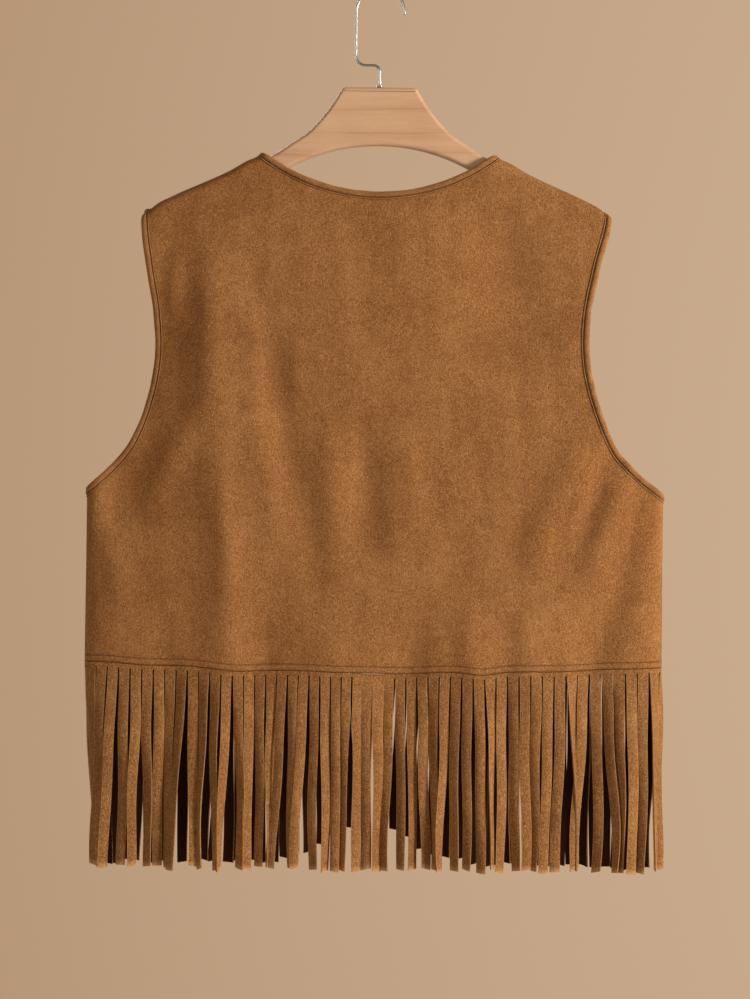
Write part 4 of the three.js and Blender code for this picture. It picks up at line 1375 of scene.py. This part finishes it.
def hook_path():
    eye = WIRE / 2 - HOOK_RADIUS
    bend_top = HOOK_BEND_LEVEL + HOOK_BEND
    stem_top = HOOK_BEND_LEVEL - NECK_BEND
    path = arc((0, eye), HOOK_RADIUS, -HOOK_END_DEG, 180, EYE_STATIONS)
    path += [(-HOOK_RADIUS, 0, z) for z in np.linspace(eye, bend_top, STRAIGHT_STATIONS)[1:-1]]
    path += arc((HOOK_BEND - HOOK_RADIUS, bend_top), HOOK_BEND, 180, 270, BEND_STATIONS)
    path += arc((-NECK_BEND, stem_top), NECK_BEND, 90, 0, NECK_STATIONS)
    path += [(0, 0, z) for z in np.linspace(stem_top, STEM_END, STRAIGHT_STATIONS)[1:]]
    return np.array(path, float)


def tube(path, radius, sides):
    """A round wire along a path in the X-Z plane, with a domed first end."""
    along = unit(np.gradient(path, axis=0))
    out = np.stack([-along[:, 2], 0 * along[:, 0], along[:, 0]], -1)
    across = np.array([0.0, 1.0, 0.0])
    start, count = WIRE_DOME
    dome = np.linspace(start, 1, count)[:-1]
    stations = [(path[0] - along[0] * radius * math.sqrt(1 - d * d), out[0], radius * d) for d in dome]
    stations += [(path[i], out[i], radius) for i in range(len(path))]
    angles = 2 * math.pi * np.arange(sides) / sides
    points = [
        centre + way * (reach * math.cos(a)) + across * (reach * math.sin(a))
        for centre, way, reach in stations
        for a in angles
    ]
    return points, tube_faces(len(stations), sides) + end_faces(len(stations), sides)


def make_hook():
    points, faces = tube(hook_path(), WIRE / 2, WIRE_SIDES)
    thing = make_object("hook_wire", points, faces, [CHROME])
    face_out(thing)
    stand_in(thing, "hook")


def make_ferrule():
    foot = WOOD_TOP + SEAM_GAP
    top = foot + FERRULE_HEIGHT
    outer = FERRULE_DIAMETER / 2
    inner = BORE / 2
    edge = FERRULE_EDGE
    profile = [
        (inner, foot), (outer - edge, foot), (outer, foot + edge), (outer, top - FERRULE_DOME),
        (outer - edge, top - edge), (outer - FERRULE_DOME, top), (inner + edge, top), (inner, top - edge),
    ]
    points = []
    for k in range(FERRULE_SIDES):
        angle = 2 * math.pi * k / FERRULE_SIDES
        points += [(r * math.cos(angle), r * math.sin(angle), z) for r, z in profile]
    faces = tube_faces(FERRULE_SIDES, len(profile), closed=True)
    thing = make_object("ferrule_ring", points, faces, [CHROME])
    face_out(thing)
    stand_in(thing, "hook_ferrule")


make_hook()
make_ferrule()


# Floor and studio light

FLOOR_Z = -1.9
FLOOR_SIZE = 5.0


def make_floor():
    mesh = bpy.data.meshes.new("floor")
    half = FLOOR_SIZE / 2
    corners = [(x * half, y * half, FLOOR_Z) for x, y in ((-1, -1), (1, -1), (1, 1), (-1, 1))]
    mesh.from_pydata(corners, [], [(0, 1, 2, 3)])
    floor = bpy.data.objects.new("floor", mesh)
    bpy.context.scene.collection.objects.link(floor)
    material, tree = new_material("floor")
    tree.shade({"Base Color": linear(214, 204, 192), "Roughness": 0.8})
    mesh.materials.append(material)


def area_light(name, place, target, size, watts, colour):
    data = bpy.data.lights.new(name, "AREA")
    data.shape = "DISK"
    data.size = size
    data.energy = watts
    data.color = colour
    light = bpy.data.objects.new(name, data)
    bpy.context.scene.collection.objects.link(light)
    light.location = place
    light.rotation_euler = (Vector(target) - Vector(place)).to_track_quat("-Z", "Y").to_euler()


def make_lights():
    middle = (0, 0, -0.45)
    area_light("key", (2.3, -1.05, -0.1), middle, size=0.6, watts=84, colour=(1.0, 0.97, 0.92))
    area_light("fill", (-1.4, -2.4, 0.2), middle, size=1.6, watts=16, colour=(1.0, 0.93, 0.85))
    area_light("behind", (-0.8, 2.2, 0.5), middle, size=1.6, watts=26, colour=(1.0, 0.98, 0.95))
    world = bpy.data.worlds.new("studio")
    world.use_nodes = True
    tree = Tree(world.node_tree)
    way = tree.add("ShaderNodeSeparateXYZ", {"Vector": tree.place("Generated")}).outputs
    spread = tree.weighted_sum([(way["Y"], 0.5), (way["X"], 0.3)], 0.4)
    stops = [(0.25, (122, 112, 102)), (0.84, (181, 149, 118)), (0.96, (205, 175, 145))]
    tree.fill(tree.nodes["Background"], {"Color": tree.ramp(spread, stops)})
    bpy.context.scene.world = world
    bpy.context.scene.view_settings.view_transform = "Standard"


make_floor()
make_lights()
